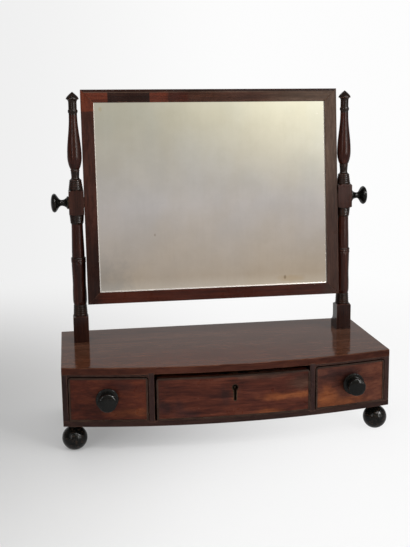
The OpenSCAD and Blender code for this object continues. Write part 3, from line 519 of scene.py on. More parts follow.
side_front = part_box("side_left")[0].y
top_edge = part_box("top_board")[1].z
side_places = [(band(1, -FAR, side_front + 2.5 * MM, 0.3 * MM), EDGE_DARK)]
top_places = [
    (on_top(-0.03, -0.085, 0.3, 0.1, 1.5, 1.0, 0.85), RED_TOP),
    (flecks((9, 1.2, 9), 0.0, 2.5, on_top(0.0, -0.06, 0.16, 0.07, 1.5, 1.0)), CHIPPED),
    (flecks((2.4, 2.4, 2.4), -0.02, 3.5, on_top(0.04, -0.085, 0.14, 0.05, 1.5, 1.0)), CHIPPED),
    (band(2, -FAR, top_edge - 0.8 * MM, 0.3 * MM), BROWN),
]
# Painted shade: dark bands over the ring stacks and necks stand for the shade in their grooves;
# over the cap the band is the cap's own dark colour.
post_places = [(band(2, *zone, 0.8 * MM), RING_SHADE) for zone in RING_SHADE_ZONES]
post_places += [
    (band(2, *FOOT_BLOCK, 0.5 * MM), BLACK_BROWN),
    (band(2, *SWING_BLOCK, 0.5 * MM), BLOCKS),
]
rail_places = [
    (band(0, -FAR, -0.157, 0.4 * MM), RED_CORNER),
    (band(0, -0.157, -0.094, 0.4 * MM), BLACK_BROWN),
    (band(0, -0.094, -0.066, 0.8 * MM), RED_CORNER),
    (band(0, -0.066, -0.034, 5 * MM, 12 * MM), LOW_RAIL),
    (band(0, 0.1, FAR, 40 * MM, 20 * MM), GREY_BROWN),
    (band(2, 0.5032, 0.5042, 0.4 * MM, 0.6 * MM), GREY_BROWN),
    (band(2, 0.5044, FAR, 0.3 * MM, 0.4 * MM), BLACK_BROWN),
]
low_rail_places = [
    (band(0, 0.172, FAR, 9 * MM, 12 * MM), RIGHT_STILE),
    (band(0, -FAR, -0.18, 8 * MM, 12 * MM), BLACK_BROWN),
]
left_stile_places = [
    (band(2, 0.476, FAR, 0.5 * MM), RED_CORNER),
    (band(2, -FAR, 0.3, 40 * MM, 30 * MM), BLACK_BROWN),
]
right_stile_places = [(band(2, 0.36, FAR, 60 * MM, 30 * MM), GREY_BROWN)]
print("top rail with", len(rail_places), "marks")


# %% Marks on the drawer fronts, and age on the softwood
def on_front(x, z, reach_x, reach_z, seed, ragged, strength=1.0):
    return blot((x, -0.1, z), (reach_x, 0.2, reach_z), seed, ragged, strength)


left_front_places = [
    (on_front(-0.141, 0.06, 0.06, 0.009, 3.0, 1.2, 0.5), ORANGE),
    # Painted shade: this blot darkens the top of the left front above its knob, under the top
    # board.
    (on_front(-0.165, 0.098, 0.03, 0.014, 4.0, 1.0, 0.7), STAIN_AND_SHADE),
]
middle_front_places = [
    (on_front(0.075, 0.074, 0.055, 0.008, 5.0, 1.5, 0.95), ORANGE),
    (on_front(0.05, 0.053, 0.03, 0.006, 6.0, 1.5, 0.8), ORANGE),
    (on_front(-0.095, 0.066, 0.032, 0.016, 7.0, 1.6, 0.9), STAIN_AND_SHADE),
    (on_front(-0.066, 0.055, 0.026, 0.011, 8.0, 1.6, 0.9), STAIN_AND_SHADE),
    (on_front(-0.012, 0.08, 0.011, 0.022, 9.0, 1.6, 0.7), STAIN_AND_SHADE),
    # These two blots make the middle front greyer along its top edge.
    (on_front(0.1, 0.092, 0.03, 0.016, 10.0, 1.0, 0.8), GREYER_TOP),
    (on_front(0.04, 0.108, 0.075, 0.009, 9.6, 1.4, 0.8), GREYER_TOP),
    (flecks((2.6, 9, 1.1), 0.02, 4.5, on_front(0.006, 0.107, 0.022, 0.006, 2.0, 0.8)), CHIPPED),
    (flecks((3.0, 9, 3.0), -0.01, 6.5, on_front(-0.03, 0.07, 0.05, 0.03, 2.0, 0.8)), CHIPPED),
]
right_front_places = [
    (on_front(0.138, 0.062, 0.024, 0.026, 11.0, 1.4, 0.9), ORANGE),
    (on_front(0.17, 0.055, 0.05, 0.01, 12.0, 1.4, 0.8), ORANGE),
    # Painted shade: these two blots darken the top of the right front under the top board, and
    # round its knob.
    (on_front(0.158, 0.1, 0.05, 0.012, 13.0, 1.2, 0.8), STAIN_AND_SHADE),
    (on_front(0.17, 0.09, 0.024, 0.016, 14.0, 0.8, 0.7), STAIN_AND_SHADE),
]
softwood_places = [
    (blot((-0.12, 0.07, 0.46), (0.14, 0.2, 0.06), 30.0, 1.6, 0.7), AGED),
    (blot((0.14, 0.07, 0.24), (0.1, 0.2, 0.07), 31.0, 1.6, 0.6), AGED),
    (blot((-0.05, 0.07, 0.33), (0.2, 0.2, 0.03), 32.0, 1.8, 0.4), AGED),
    (blot((0.09, 0.12, 0.055), (0.16, 0.05, 0.02), 33.0, 1.6, 0.7), AGED),
    (blot((-0.2, 0.12, 0.1), (0.07, 0.05, 0.03), 34.0, 1.6, 0.7), AGED),
]
print("middle front with", len(middle_front_places), "marks")

# %% Name the wood finishes
UNPOLISHED = dict(gloss=(0.6, 0.8), shine=0.3, wear=0.2, worn_colour=(0.3, 0.19, 0.1), dirt_and_shade=0.5)
finish = {
    "case top": wood(
        "polished_case_top", ALONG_X, CASE_TOP, top_places,
        seed=1.0, gloss=(0.07, 0.11), shine=0.058, figure=0.2, bump=0.08,
    ),
    "case bottom": wood("mahogany_case_bottom", ALONG_X, CASE_BOTTOM, seed=2.0),
    "case side": wood("mahogany_side", ALONG_Z, BROWN, side_places, seed=3.0),
    "post": wood(
        "mahogany_post", ALONG_Z, POST, post_places, seed=4.0, figure=0.1, gloss=(0.15, 0.24),
        shine=0.2, worn_colour=(0.12, 0.045, 0.028), dirt_and_shade=0.7, bump=0.12,
    ),
    "rail": wood("veneered_rail", ALONG_X, RAIL, rail_places, seed=5.0, figure=0.15),
    "low rail": wood(
        "veneered_low_rail", ALONG_X, LOW_RAIL, low_rail_places, seed=5.7, figure=0.15
    ),
    "stile left": wood(
        "veneered_stile_left", ALONG_Z, LEFT_STILE, left_stile_places, seed=6.0, figure=0.12
    ),
    "stile right": wood(
        "veneered_stile_right", ALONG_Z, RIGHT_STILE, right_stile_places, seed=7.0, figure=0.12
    ),
    "front left": wood(
        "figured_front_left", ALONG_X, LEFT_FRONT, left_front_places, seed=8.0, figure=0.3
    ),
    "front middle": wood(
        "figured_front_middle", ALONG_X, MIDDLE_FRONT, middle_front_places, seed=9.3, figure=0.35
    ),
    "front right": wood(
        "figured_front_right", ALONG_X, RIGHT_FRONT, right_front_places, seed=10.0, figure=0.35
    ),
    "bead": wood(
        "mahogany_bead", ALONG_X, BEAD, seed=11.0, wear=0.35, worn_colour=(0.12, 0.07, 0.045)
    ),
    "ebonised": wood(
        "ebonised_wood", ALONG_Z, BLACKENED, seed=12.0, figure=0.05, gloss=(0.03, 0.055),
        shine=0.19, wear=0.35, worn_colour=(0.05, 0.032, 0.022), bump=0.1,
    ),
    "ebonised foot": wood(
        "rubbed_ebonised_wood", ALONG_Z, BLACKENED, [(flecks((4, 4, 2.5), 0.16, 7.5), RUBBED)],
        seed=12.5, figure=0.05, gloss=(0.08, 0.16), shine=0.17, wear=0.4,
        worn_colour=(0.05, 0.03, 0.02), bump=0.3,
    ),
    "softwood x": wood(
        "bare_softwood", ALONG_X, BARE, softwood_places,
        seed=13.0, figure=0.2, bump=0.5, **UNPOLISHED,
    ),
    "softwood y": wood(
        "drawer_lining", ALONG_Y, LINING, seed=14.0, figure=0.1, bump=0.5, **UNPOLISHED
    ),
}
print(len(finish), "wood finishes")

# %% [markdown]
# ## Old brass and leather
# The small metal parts are brass that nobody has cleaned for years: brown, dull in hollows, and
# bright only where fingers touch. The washers between frame and posts are scraps of leather,
# pressed hard and dark with wax.

# %% Brass and leather finishes
TARNISH = dict(scale=(180, 180, 180), detail=5, roughness=0.6)
STAINS = dict(scale=(120, 120, 120), detail=4, roughness=0.6)
BRASS_DIRT, BRASS_ROUGH = (0.03, 0.02, 0.012), (0.28, 0.52)
LEATHER_DARK, LEATHER_LIGHT = (0.05, 0.022, 0.012), (0.14, 0.07, 0.04)
PEBBLES = 1400.0


def tarnished_brass(name, seed, bright, brown):
    material, tree, shader = new_material(name)
    vector = place_on(tree, ALONG_X)
    clouds = noise(tree, vector, seed, **TARNISH)
    marked = layer(tree, wear_dirt_and_shade, vector, seed, Amount=0.9)
    tarnish = minus(tree, map_range(tree, clouds, 0.3, 0.6), marked["Edges"], clamp=True)
    colour = blend(tree, marked["Hollows"], blend(tree, tarnish, bright, brown), BRASS_DIRT)
    roughness = map_range(tree, tarnish, 0.0, 1.0, *BRASS_ROUGH)
    values = {"Base Color": colour, "Roughness": roughness, "Metallic": 1.0}
    fill(tree, shader, {**values, "Normal": bumped(tree, 0.2, 0.1 * MM, clouds)})
    return material


def waxed_leather():
    material, tree, shader = new_material("waxed_leather")
    vector = place_on(tree, ALONG_X)
    pebbles = first(tree, "ShaderNodeTexVoronoi", {"Vector": vector, "Scale": PEBBLES})
    stains = noise(tree, vector, 3.0, **STAINS)
    colour = blend(tree, stains, LEATHER_DARK, LEATHER_LIGHT)
    values = {"Base Color": colour, "Roughness": map_range(tree, stains, 0.3, 0.7, 0.55, 0.75)}
    fill(tree, shader, {**values, "Normal": bumped(tree, 0.4, 0.15 * MM, pebbles)})
    return material


finish["brass"] = tarnished_brass("tarnished_brass", 1.0, (0.5, 0.33, 0.13), (0.16, 0.095, 0.04))
finish["dark brass"] = tarnished_brass(
    "darkened_brass", 2.0, (0.07, 0.05, 0.032), (0.018, 0.014, 0.011)
)
finish["leather"] = waxed_leather()
print("with brass and leather", len(finish), "finishes")

# %% [markdown]
# ## The silvered glass
# An old plate is silvered with tin and mercury. It reflects a little less than a new one and a
# little warmer, and damp has left small brown spots near its edges, called foxing. A mirror is a
# metal seen through glass: a fully metallic surface with a very low roughness. The spots are noise
# with a high threshold, likelier towards the edges of the plate. A blot stands for each stain and
# dark corner of the photograph, and years of wiping leave faint clouds. A thin pale band along the
# sight edges is a painted highlight: the glint of the glass edge.

# %% The mirror finish
glass_low, glass_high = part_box("mirror_glass")
SIGHT_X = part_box("frame_stile_right")[0].x
SIGHT_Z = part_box("frame_bottom_rail")[1].z
RIM_WIDTH = 2.2 * MM
# The rim is a painted highlight along the sight edges of the glass.
RIM_GLINT, RIM_SHARE, RIM_ROUGH = (0.98, 0.93, 0.88), 0.8, 0.45
EDGE_FROM, EDGE_TO = 50 * MM, 4 * MM
SPECKS = dict(scale=(240, 240, 240), detail=3, roughness=0.6)
CLUSTERS = dict(scale=(28, 28, 28), detail=2, roughness=0.5)
CLUSTER_SHARE, EDGE_SHARE = 0.35, 0.1
FOXED_RANGE, FOXED_SHARE, FOXED_ROUGH = (0.96, 1.04), 0.6, 0.3
HAZE = dict(scale=(16, 16, 16), detail=4, roughness=0.6)
WIPES = dict(scale=(110, 30, 9), detail=4, roughness=0.6)
HUES = dict(scale=(9, 9, 7), detail=3, roughness=0.5)
WIPE_SHARE, MOTTLE_RANGE, HUE_RANGE = 0.18, (0.33, 0.67), (0.35, 0.65)
WARM = ((0.815, 0.79, 0.735), (0.885, 0.86, 0.81))
COOL = ((0.8, 0.8, 0.79), (0.875, 0.875, 0.87))
POLISH_RANGE = (0.012, 0.03)
DIMMED, FOXED = (0.6, 0.64, 0.68), (0.28, 0.21, 0.14)
YELLOWED, STAIN = (0.8, 0.72, 0.58), (0.3, 0.24, 0.15)
GLASS_MARKS = [
    (blot((-0.184, 0.05, 0.2), (0.085, 1, 0.085), 20.0, 0.8, 0.75), DIMMED),
    (blot((0.12, 0.05, 0.214), (0.03, 1, 0.008), 21.0, 1.0, 0.7), YELLOWED),
    (blot((0.1104, 0.05, 0.2165), (0.0028, 1, 0.0042), 22.0, 1.0, 0.6), STAIN),
    (blot((-0.0923, 0.05, 0.289), (0.002, 1, 0.003), 23.0, 1.0, 0.4), STAIN),
    (blot((-0.1684, 0.05, 0.479), (0.004, 1, 0.005), 24.0, 1.0, 0.7), YELLOWED),
]


def near_rim(tree, place, axis):
    middle = (glass_low[axis] + glass_high[axis]) / 2
    half = glass_high[axis] - middle
    away = math_node(tree, "ABSOLUTE", minus(tree, place, middle))
    return away, map_range(tree, away, half - EDGE_FROM, half - EDGE_TO)


def foxing(tree, place, edge):
    clusters = times(tree, noise(tree, place, 5.0, **CLUSTERS), CLUSTER_SHARE)
    chance = plus(tree, noise(tree, place, 2.0, **SPECKS), clusters)
    return map_range(tree, plus(tree, chance, times(tree, edge, EDGE_SHARE)), *FOXED_RANGE)


def silvering(tree, place, haze):
    wipes = noise(tree, place, 8.0, **WIPES)
    mottle = map_range(tree, mix(tree, WIPE_SHARE, haze, wipes), *MOTTLE_RANGE)
    hue = map_range(tree, noise(tree, place, 9.0, **HUES), *HUE_RANGE)
    return blend(tree, hue, blend(tree, mottle, *WARM), blend(tree, mottle, *COOL))


def silvered_glass():
    material, tree, shader = new_material("silvered_glass")
    place = own_place(tree)
    axes = axes_of(tree, place)
    from_x, edge_x = near_rim(tree, axes[0], 0)
    from_z, edge_z = near_rim(tree, axes[2], 2)
    foxed = foxing(tree, place, math_node(tree, "MAXIMUM", edge_x, edge_z))
    haze = noise(tree, place, 1.0, **HAZE)
    colour = silvering(tree, place, haze)
    colour = blend(tree, times(tree, foxed, FOXED_SHARE), colour, FOXED)
    for mask, stain in GLASS_MARKS:
        colour = blend(tree, mask(tree), colour, stain)
    # Painted highlight: a thin pale band along the sight edges stands for the glint of the glass
    # edge; it is also rougher.
    rim_x = map_range(tree, from_x, SIGHT_X - RIM_WIDTH, SIGHT_X, kind="LINEAR")
    rim_z = map_range(tree, axes[2], SIGHT_Z + RIM_WIDTH, SIGHT_Z, kind="LINEAR")
    rim = math_node(tree, "MAXIMUM", rim_x, rim_z)
    roughness = map_range(tree, haze, 0.3, 0.7, *POLISH_RANGE)
    roughness = plus(tree, roughness, times(tree, foxed, FOXED_ROUGH))
    roughness = plus(tree, roughness, times(tree, rim, RIM_ROUGH))
    colour = blend(tree, times(tree, rim, RIM_SHARE), colour, RIM_GLINT)
    fill(tree, shader, {"Base Color": colour, "Roughness": roughness, "Metallic": 1.0})
    return material


finish["glass"] = silvered_glass()
print("glass with", len(GLASS_MARKS), "marks")

# %% [markdown]
# ## Which piece has which finish
# The record names a material slot for each node. Here each gets a finish that suits the way its
# grain runs: rails along their length, posts and stiles upwards, drawer sides from front to back.


# %% Give every node its finish
def both(name):
    return [f"{name}_left", f"{name}_right"]


DRAWERS = ("left", "middle", "right")
FRONTS = [f"{drawer}_front" for drawer in DRAWERS]
BEADS = [f"{drawer}_cockbead" for drawer in DRAWERS]
BACKS = ["back_board", "mirror_back"] + [f"{drawer}_back" for drawer in DRAWERS]
FLOORS = [f"{drawer}_floor" for drawer in DRAWERS]
DRAWER_SIDES = [
    "left_side_outer", "left_side_inner", "middle_side_left", "middle_side_right",
    "right_side_outer", "right_side_inner",
]
KNOBS = ["left_knob", "right_knob", *both("swing_knob")]
FEET = [*both("foot_front"), *both("foot_back")]
FINISH_OF = {
    "case top": ["top_board"],
    "case bottom": ["bottom_board", *both("top_strip")],
    "case side": [*both("side"), *both("divider")],
    "post": [*both("post"), *both("bracket")],
    "rail": ["frame_top_rail"],
    "low rail": ["frame_bottom_rail"],
    "stile left": ["frame_stile_left"],
    "stile right": ["frame_stile_right"],
    "front left": ["left_front"],
    "front middle": ["middle_front"],
    "front right": ["right_front"],
    "bead": BEADS,
    "ebonised": KNOBS,
    "ebonised foot": FEET,
    "softwood x": BACKS + FLOORS,
    "softwood y": DRAWER_SIDES,
    "brass": [*both("nut_plate"), *both("swing_screw"), "lock_bolt"],
    "dark brass": ["escutcheon", *both("outer_washer"), "lock_case"],
    "leather": both("inner_washer"),
    "glass": ["mirror_glass"],
}
finish_of = {node: finish[name] for name, members in FINISH_OF.items() for node in members}
for node, thing in nodes.items():
    thing.data.materials.clear()
    thing.data.materials.append(finish_of[node])
print("finished", len(finish_of), "of", len(nodes), "nodes")

# %% [markdown]
# ## Eased edges
# No edge on furniture is razor sharp: the maker takes each arris off with a stroke of glasspaper,
# and years of dusting do the rest. The thin highlight along such an edge is what makes a board look
# real. In a copy of each board the coplanar triangles are joined, and a Bevel modifier rounds it.
# The corner normals are weighed by face area, without the normals that came with the mesh, so that
# broad faces stay truly flat and reflect without a kink.

# %% Ease the boards
MERGE = 1e-6
FLAT_ANGLE = math.radians(0.05)
SHARP_ANGLE = math.radians(30)
ROUND_STEPS = 2
BY_AREA_ONLY = 100


def new_piece(name, mesh, body):
    piece = put(name, mesh)
    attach(piece, body)
    return piece


def baked(source):
    bpy.context.view_layer.update()
    depsgraph = bpy.context.evaluated_depsgraph_get()
    return bpy.data.meshes.new_from_object(source.evaluated_get(depsgraph), depsgraph=depsgraph)


def joined_faces(node):
    mesh = nodes[node].data.copy()
    imported_normals = mesh.attributes.get("custom_normal")
    if imported_normals:
        mesh.attributes.remove(imported_normals)
    shape = bmesh.new()
    shape.from_mesh(mesh)
    bmesh.ops.remove_doubles(shape, verts=shape.verts, dist=MERGE)
    corners, edges = shape.verts, shape.edges
    bmesh.ops.dissolve_limit(shape, angle_limit=FLAT_ANGLE, verts=corners, edges=edges)
    shape.to_mesh(mesh)
    shape.free()
    mesh.shade_smooth()
    mesh.set_sharp_from_angle(angle=SHARP_ANGLE)
    return mesh


def eased(node, width):
    blank = put("blank", joined_faces(node))
    bevel = blank.modifiers.new("eased", "BEVEL")
    bevel.width = width
    bevel.segments = ROUND_STEPS
    bevel.limit_method = "ANGLE"
    bevel.angle_limit = SHARP_ANGLE
    flat = blank.modifiers.new("flat faces", "WEIGHTED_NORMAL")
    flat.weight = BY_AREA_ONLY
    flat.keep_sharp = True
    done = baked(blank)
    bpy.data.objects.remove(blank)
    piece = new_piece(f"{node}_eased", done, nodes[node]["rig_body"])
    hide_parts(node)
    return piece


EASED = {
    0.5 * MM: [
        "top_board", "bottom_board", *both("side"), *both("bracket"),
        "frame_top_rail", "frame_bottom_rail", *both("frame_stile"), *FRONTS,
    ],
    0.35 * MM: [*both("divider"), *both("top_strip"), *BACKS, *DRAWER_SIDES],
    0.9 * MM: BEADS,
}
made = [eased(node, width) for width, members in EASED.items() for node in members]
print("eased", len(made), "pieces,", sum(len(piece.data.polygons) for piece in made), "faces")

# %% [markdown]
# ## Screws and pins
# Slotted brass screws hold the nut plates and the lock, and small pins hold the board behind the
# glass, the back of the case and the drawer bottoms. Each kind is one small head at many places, so
# Geometry Nodes make them: points carry the places and the way out of the surface, one tree sets a
# head on each, its slot turned at random, and the result is baked to a plain mesh.

# %% Find a surface and lay out points on it
FACING = 0.96


def face_of(node, outwards):
    mesh = nodes[node].data
    found = [face for face in mesh.polygons if face.normal.dot(outwards) > FACING]
    area = sum(face.area for face in found)
    normal = sum((face.normal * face.area for face in found), Vector()).normalized()
    middle = sum((face.center * face.area for face in found), Vector()) / area
    return middle, normal


def head_points(node, outwards, places):
    middle, normal = face_of(node, outwards)
    across = Vector((1, 0, 0)) if abs(normal.x) < 0.5 else Vector((0, 1, 0))
    along = normal.cross(across).normalized()
    along = along if along.z >= 0 else -along
    return [(middle + across * (u * MM) + along * (v * MM), normal) for u, v in places]


def outline(width, height, columns, rows):
    return [
        (width * (column / (columns - 1) - 0.5), height * (row / (rows - 1) - 0.5))
        for column in range(columns)
        for row in range(rows)
        if column in (0, columns - 1) or row in (0, rows - 1)
    ]


# %% Half a slotted head
GEOMETRY = "NodeSocketGeometry"
ARC_POINTS = 9


def joined(tree, *parts):
    join = add(tree, "GeometryNodeJoinGeometry")
    for part in parts:
        tree.links.new(part, join.inputs[0])
    return join.outputs[0]


def half_head(tree, given, turn):
    inputs = {"Resolution": ARC_POINTS, "Radius": given["Radius"]}
    inputs.update({"Start Angle": 0.0, "Sweep Angle": math.pi})
    arc = first(tree, "GeometryNodeCurveArc", inputs)
    closed = first(tree, "GeometryNodeSetSplineCyclic", {"Geometry": arc, "Cyclic": True})
    flat = first(tree, "GeometryNodeFillCurve", {"Curve": closed})
    inputs = {"Mesh": flat, "Offset Scale": given["Height"], "Individual": False}
    raised = first(tree, "GeometryNodeExtrudeMesh", inputs)
    under = first(tree, "GeometryNodeFlipFaces", {"Mesh": flat})
    inputs = {"Geometry": joined(tree, raised, under), "Distance": MERGE}
    solid = first(tree, "GeometryNodeMergeByDistance", inputs)
    shift = first(tree, "ShaderNodeCombineXYZ", {1: times(tree, given["Slot"], 0.5)})
    moved = first(tree, "GeometryNodeTransform", {"Geometry": solid, "Translation": shift})
    return first(tree, "GeometryNodeTransform", {"Geometry": moved, "Rotation": (0, 0, turn)})


# %% The tree that sets a head on each point
HEAD_SEED = 7
CORE_SIDES = 16
CORE_DEPTH = 0.3


def turned_outwards(tree, seed):
    name = {"Name": "outwards"}
    outwards = first(tree, "GeometryNodeInputNamedAttribute", name, data_type="FLOAT_VECTOR")
    facing = first(tree, "FunctionNodeAlignRotationToVector", {"Vector": outwards}, axis="Z")
    turn = add(tree, "FunctionNodeRandomValue", {"Max": math.pi, "Seed": seed}, data_type="FLOAT")
    inputs = {"Axis": (0, 0, 1), "Angle": turn.outputs[1]}
    spin = first(tree, "FunctionNodeAxisAngleToRotation", inputs)
    inputs = {"Rotation": facing, "Rotate By": spin}
    return first(tree, "FunctionNodeRotateRotation", inputs, rotation_space="LOCAL")


def build_heads():
    inputs = {"Points": (GEOMETRY, None), "Seed": ("NodeSocketInt", HEAD_SEED)}
    inputs.update({size: (FLOAT, MM) for size in ("Radius", "Height", "Slot")})
    inputs["Finish"] = ("NodeSocketMaterial", None)
    name, kind = "Screw and pin heads", "GeometryNodeTree"
    tree, given, result = new_group(kind, name, inputs, {"Heads": GEOMETRY})
    depth = times(tree, given["Height"], CORE_DEPTH)
    inputs = {"Vertices": CORE_SIDES, "Radius": given["Radius"], "Depth": depth}
    core = first(tree, "GeometryNodeMeshCylinder", inputs)
    halves = (half_head(tree, given, 0.0), half_head(tree, given, math.pi))
    inputs = {"Points": given["Points"], "Instance": joined(tree, core, *halves)}
    inputs["Rotation"] = turned_outwards(tree, given["Seed"])
    placed = first(tree, "GeometryNodeInstanceOnPoints", inputs)
    real = first(tree, "GeometryNodeRealizeInstances", {"Geometry": placed})
    inputs = {"Geometry": real, "Material": given["Finish"]}
    fill(tree, result, {"Heads": first(tree, "GeometryNodeSetMaterial", inputs)})
    return tree


heads_tree = build_heads()
tell(heads_tree)


# %% Set the screws and pins
def heads(name, body, points, radius, height, gap, finish_name="dark brass"):
    mesh = bpy.data.meshes.new(name)
    mesh.from_pydata([spot for spot, normal in points], [], [])
    outwards = mesh.attributes.new("outwards", "FLOAT_VECTOR", "POINT")
    for value, (spot, normal) in zip(outwards.data, points):
        value.vector = normal
    source = put("points", mesh)
    modifier = source.modifiers.new("heads", "NODES")
    modifier.node_group = heads_tree
    sizes = {"Radius": radius * MM, "Height": height * MM, "Slot": gap * MM}
    sizes["Finish"] = finish[finish_name]
    for socket in heads_tree.interface.items_tree:
        if socket.in_out == "INPUT" and socket.name in sizes:
            modifier[socket.identifier] = sizes[socket.name]
    done = baked(source)
    source.modifiers.remove(modifier)
    bpy.data.objects.remove(source)
    return new_piece(name, done, body)


LEFT, RIGHT = Vector((-1, 0, 0)), Vector((1, 0, 0))
BACK, DOWN = Vector((0, 1, 0)), Vector((0, 0, -1))
PLATE_SCREWS = [(0, -10.6), (0, 10.6)]
LOCK_SCREWS = [(-16.5, -14), (16.5, -14), (-16.5, 14), (16.5, 14)]
FLOOR_PIN_INSET = 12 * MM
FLOOR_PIN_FROM_BACK = 3 * MM

plate_points = head_points("nut_plate_left", LEFT, PLATE_SCREWS)
plate_points += head_points("nut_plate_right", RIGHT, PLATE_SCREWS)
lock_points = head_points("lock_case", BACK, LOCK_SCREWS)
board_points = head_points("mirror_back", BACK, outline(356, 287, 6, 5))
case_points = head_points("back_board", BACK, outline(452, 56, 8, 2))
heads("nut_plate_screws", "mirror", plate_points, 2.1, 0.2, 0.5, "brass")
heads("lock_screws", "drawer_middle", lock_points, 1.9, 0.5, 0.5)
heads("glass_board_pins", "mirror", board_points, 0.8, 0.25, 0.0)
heads("case_back_pins", "case", case_points, 1.2, 0.2, 0.0)
for drawer in DRAWERS:
    low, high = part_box(f"{drawer}_back")
    middle, normal = face_of(f"{drawer}_floor", DOWN)
    step = (high.x - low.x - 2 * FLOOR_PIN_INSET) / 4
    row = [
        (Vector((middle.x + number * step, high.y - FLOOR_PIN_FROM_BACK, middle.z)), normal)
        for number in (-2, -1, 0, 1, 2)
    ]
    heads(f"{drawer}_floor_pins", f"drawer_{drawer}", row, 1.1, 0.25, 0.0)
print("set", len(plate_points + lock_points), "screws,", len(board_points + case_points), "pins")

# %% [markdown]
# ## Floor, backdrop and light
# The mirror stands on a plain pale table in soft light, brighter from the right. The floor is a
# wide disc. Near the mirror it takes light and shadow like paper; for the camera and in reflections
# a painted glow, growing towards the right, lifts that shadow, and a soft painted shadow lies to
# the left of the mirror. Further out the floor fades to white for the camera, so it has no horizon,
# and that white is greyer to the left, a painted shade. What a mirror shows matters as much as the
# mirror: a curved card behind the camera, seen only in reflections, holds the soft grey light of a
# room, a window at the right and a brighter one beside it. A small skylight gives the case top its
# sheen.

# %% Floor and backdrop
FLOOR_RADIUS = 7.0
FLOOR_SIDES = 96
GLOW_FROM_TO = (-0.35, 0.2)
GLOW_SHARE = (0.15, 0.82)
FADE_TO_WHITE = (0.35, 1.3)
# A painted shadow on the floor, to the left of the mirror.
SHADE_CENTRE = (-0.62, 0.05, 0.0)
SHADE_REACH = (0.6, 1.2, 1.0)
SHADE_RANGE = (1.0, 0.05)
PAPER, SHADED_PAPER = (0.88, 0.88, 0.88), (0.48, 0.48, 0.475)
SHADED_WHITE = (0.5, 0.5, 0.49)
REFLECTED_WHITE = 0.6
BEARINGS = (-0.3, 0.02)
SHADED_TO_WHITE = (0.86, 0.98)


def disc(name, radius):
    mesh = bpy.data.meshes.new(name)
    shape = bmesh.new()
    bmesh.ops.create_circle(shape, cap_ends=True, segments=FLOOR_SIDES, radius=radius)
    shape.to_mesh(mesh)
    shape.free()
    return put(name, mesh)


def emission(tree, colour, strength=1.0):
    return first(tree, "ShaderNodeEmission", {"Color": colour, "Strength": strength})


def show(tree, surface):
    fill(tree, tree.nodes["Material Output"], {"Surface": surface})


# Painted shade: the white that the camera sees is greyer towards the left of its view.
def shaded_white_by_bearing(tree, direction):
    flat = vector_math(tree, "MULTIPLY", direction, (1, 1, 0))
    unit = vector_math(tree, "NORMALIZE", flat)
    bearing = vector_math(tree, "DOT_PRODUCT", unit, CAMERA_RIGHT)
    return map_range(tree, bearing, *BEARINGS, *SHADED_TO_WHITE)


def floor_material():
    material, tree, shader = new_material("pale_floor")
    place = own_place(tree)
    # Painted light: for the camera and in reflections the floor glows, more towards the right, and
    # so lifts its real shadow there.
    glow = map_range(tree, axes_of(tree, place)[0], *GLOW_FROM_TO, *GLOW_SHARE)
    far = map_range(tree, vector_math(tree, "LENGTH", place), *FADE_TO_WHITE)
    # Painted shadow: a soft dark patch on the floor to the left of the mirror.
    away = away_from(tree, place, SHADE_CENTRE, SHADE_REACH)
    shade = map_range(tree, away, *SHADE_RANGE)
    white = shaded_white_by_bearing(tree, vector_math(tree, "SUBTRACT", place, CAMERA_PLACE))
    paper = blend(tree, shade, PAPER, SHADED_PAPER)
    fill(tree, shader, {"Base Color": paper, "Roughness": 0.7, "Specular IOR Level": 0.2})
    ray = add(tree, "ShaderNodeLightPath").outputs
    strength = mix(tree, ray["Is Glossy Ray"], 1.0, REFLECTED_WHITE)
    lit = emission(tree, blend(tree, shade, white, SHADED_WHITE), strength)
    seen = math_node(tree, "MAXIMUM", ray["Is Camera Ray"], ray["Is Glossy Ray"])
    share = times(tree, mix(tree, far, glow, 1.0), seen)
    show(tree, first(tree, "ShaderNodeMixShader", {0: share, 1: shader.outputs[0], 2: lit}))
    return material


floor = disc("floor", FLOOR_RADIUS)
floor.data.materials.append(floor_material())
floor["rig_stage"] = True
print("floor of", FLOOR_SIDES, "sides")

# %% The world
BEHIND = (0.5, 0.85)
REFLECTED_WALL = (0.22, 0.62)
ROOM_LIGHT = 0.62

world = bpy.data.worlds.new("pale_room")
world.use_nodes = True
scene.world = world
tree = world.node_tree
ray = add(tree, "ShaderNodeLightPath").outputs
seen = math_node(tree, "MAXIMUM", ray["Is Camera Ray"], ray["Is Transmission Ray"])
direction = add(tree, "ShaderNodeTexCoord").outputs["Generated"]
behind = vector_math(tree, "DOT_PRODUCT", direction, (0, 1, 0))
wall = map_range(tree, behind, *BEHIND, *REFLECTED_WALL)
unseen = mix(tree, ray["Is Glossy Ray"], ROOM_LIGHT, wall)
# For the camera the background takes the same painted shade, greyer to the left.
light = {"Color": shaded_white_by_bearing(tree, direction), "Strength": mix(tree, seen, unseen, 1.0)}
fill(tree, tree.nodes["Background"], light)
tell(tree)

# %% What the glass and the polish reflect
CARD_RADIUS = 2.6
CARD_LOW = -0.9
CARD_HIGH = 2.4
CARD_SPREAD = math.radians(85)
CARD_COLUMNS = 48
CARD_TONES = [
    (0.0, (0.85, 0.8, 0.74)),
    (0.28, (0.8, 0.74, 0.66)),
    (0.335, (0.44, 0.37, 0.3)),
    (0.43, (0.535, 0.5, 0.485)),
    (0.55, (0.55, 0.53, 0.44)),
    (1.0, (0.7, 0.69, 0.64)),
]
MIDDLE_SHADE = (-0.4, 0.6, 0.86, 1.0)
LEFT_SHADE = (-1.9, -0.6, 0.45, 1.0)
WINDOW = (1.15, -2.33, 1.2)
WINDOW_REACH = (1.2875, 1.03, 0.7923)
WINDOW_LIGHT = (1.5, 1.45, 1.15)
SIDE_WINDOW = math.radians(46)
SIDE_REACH = math.radians(14)
SIDE_SOFT = 0.07
SIDE_LIGHT = (2.4, 2.35, 2.25)


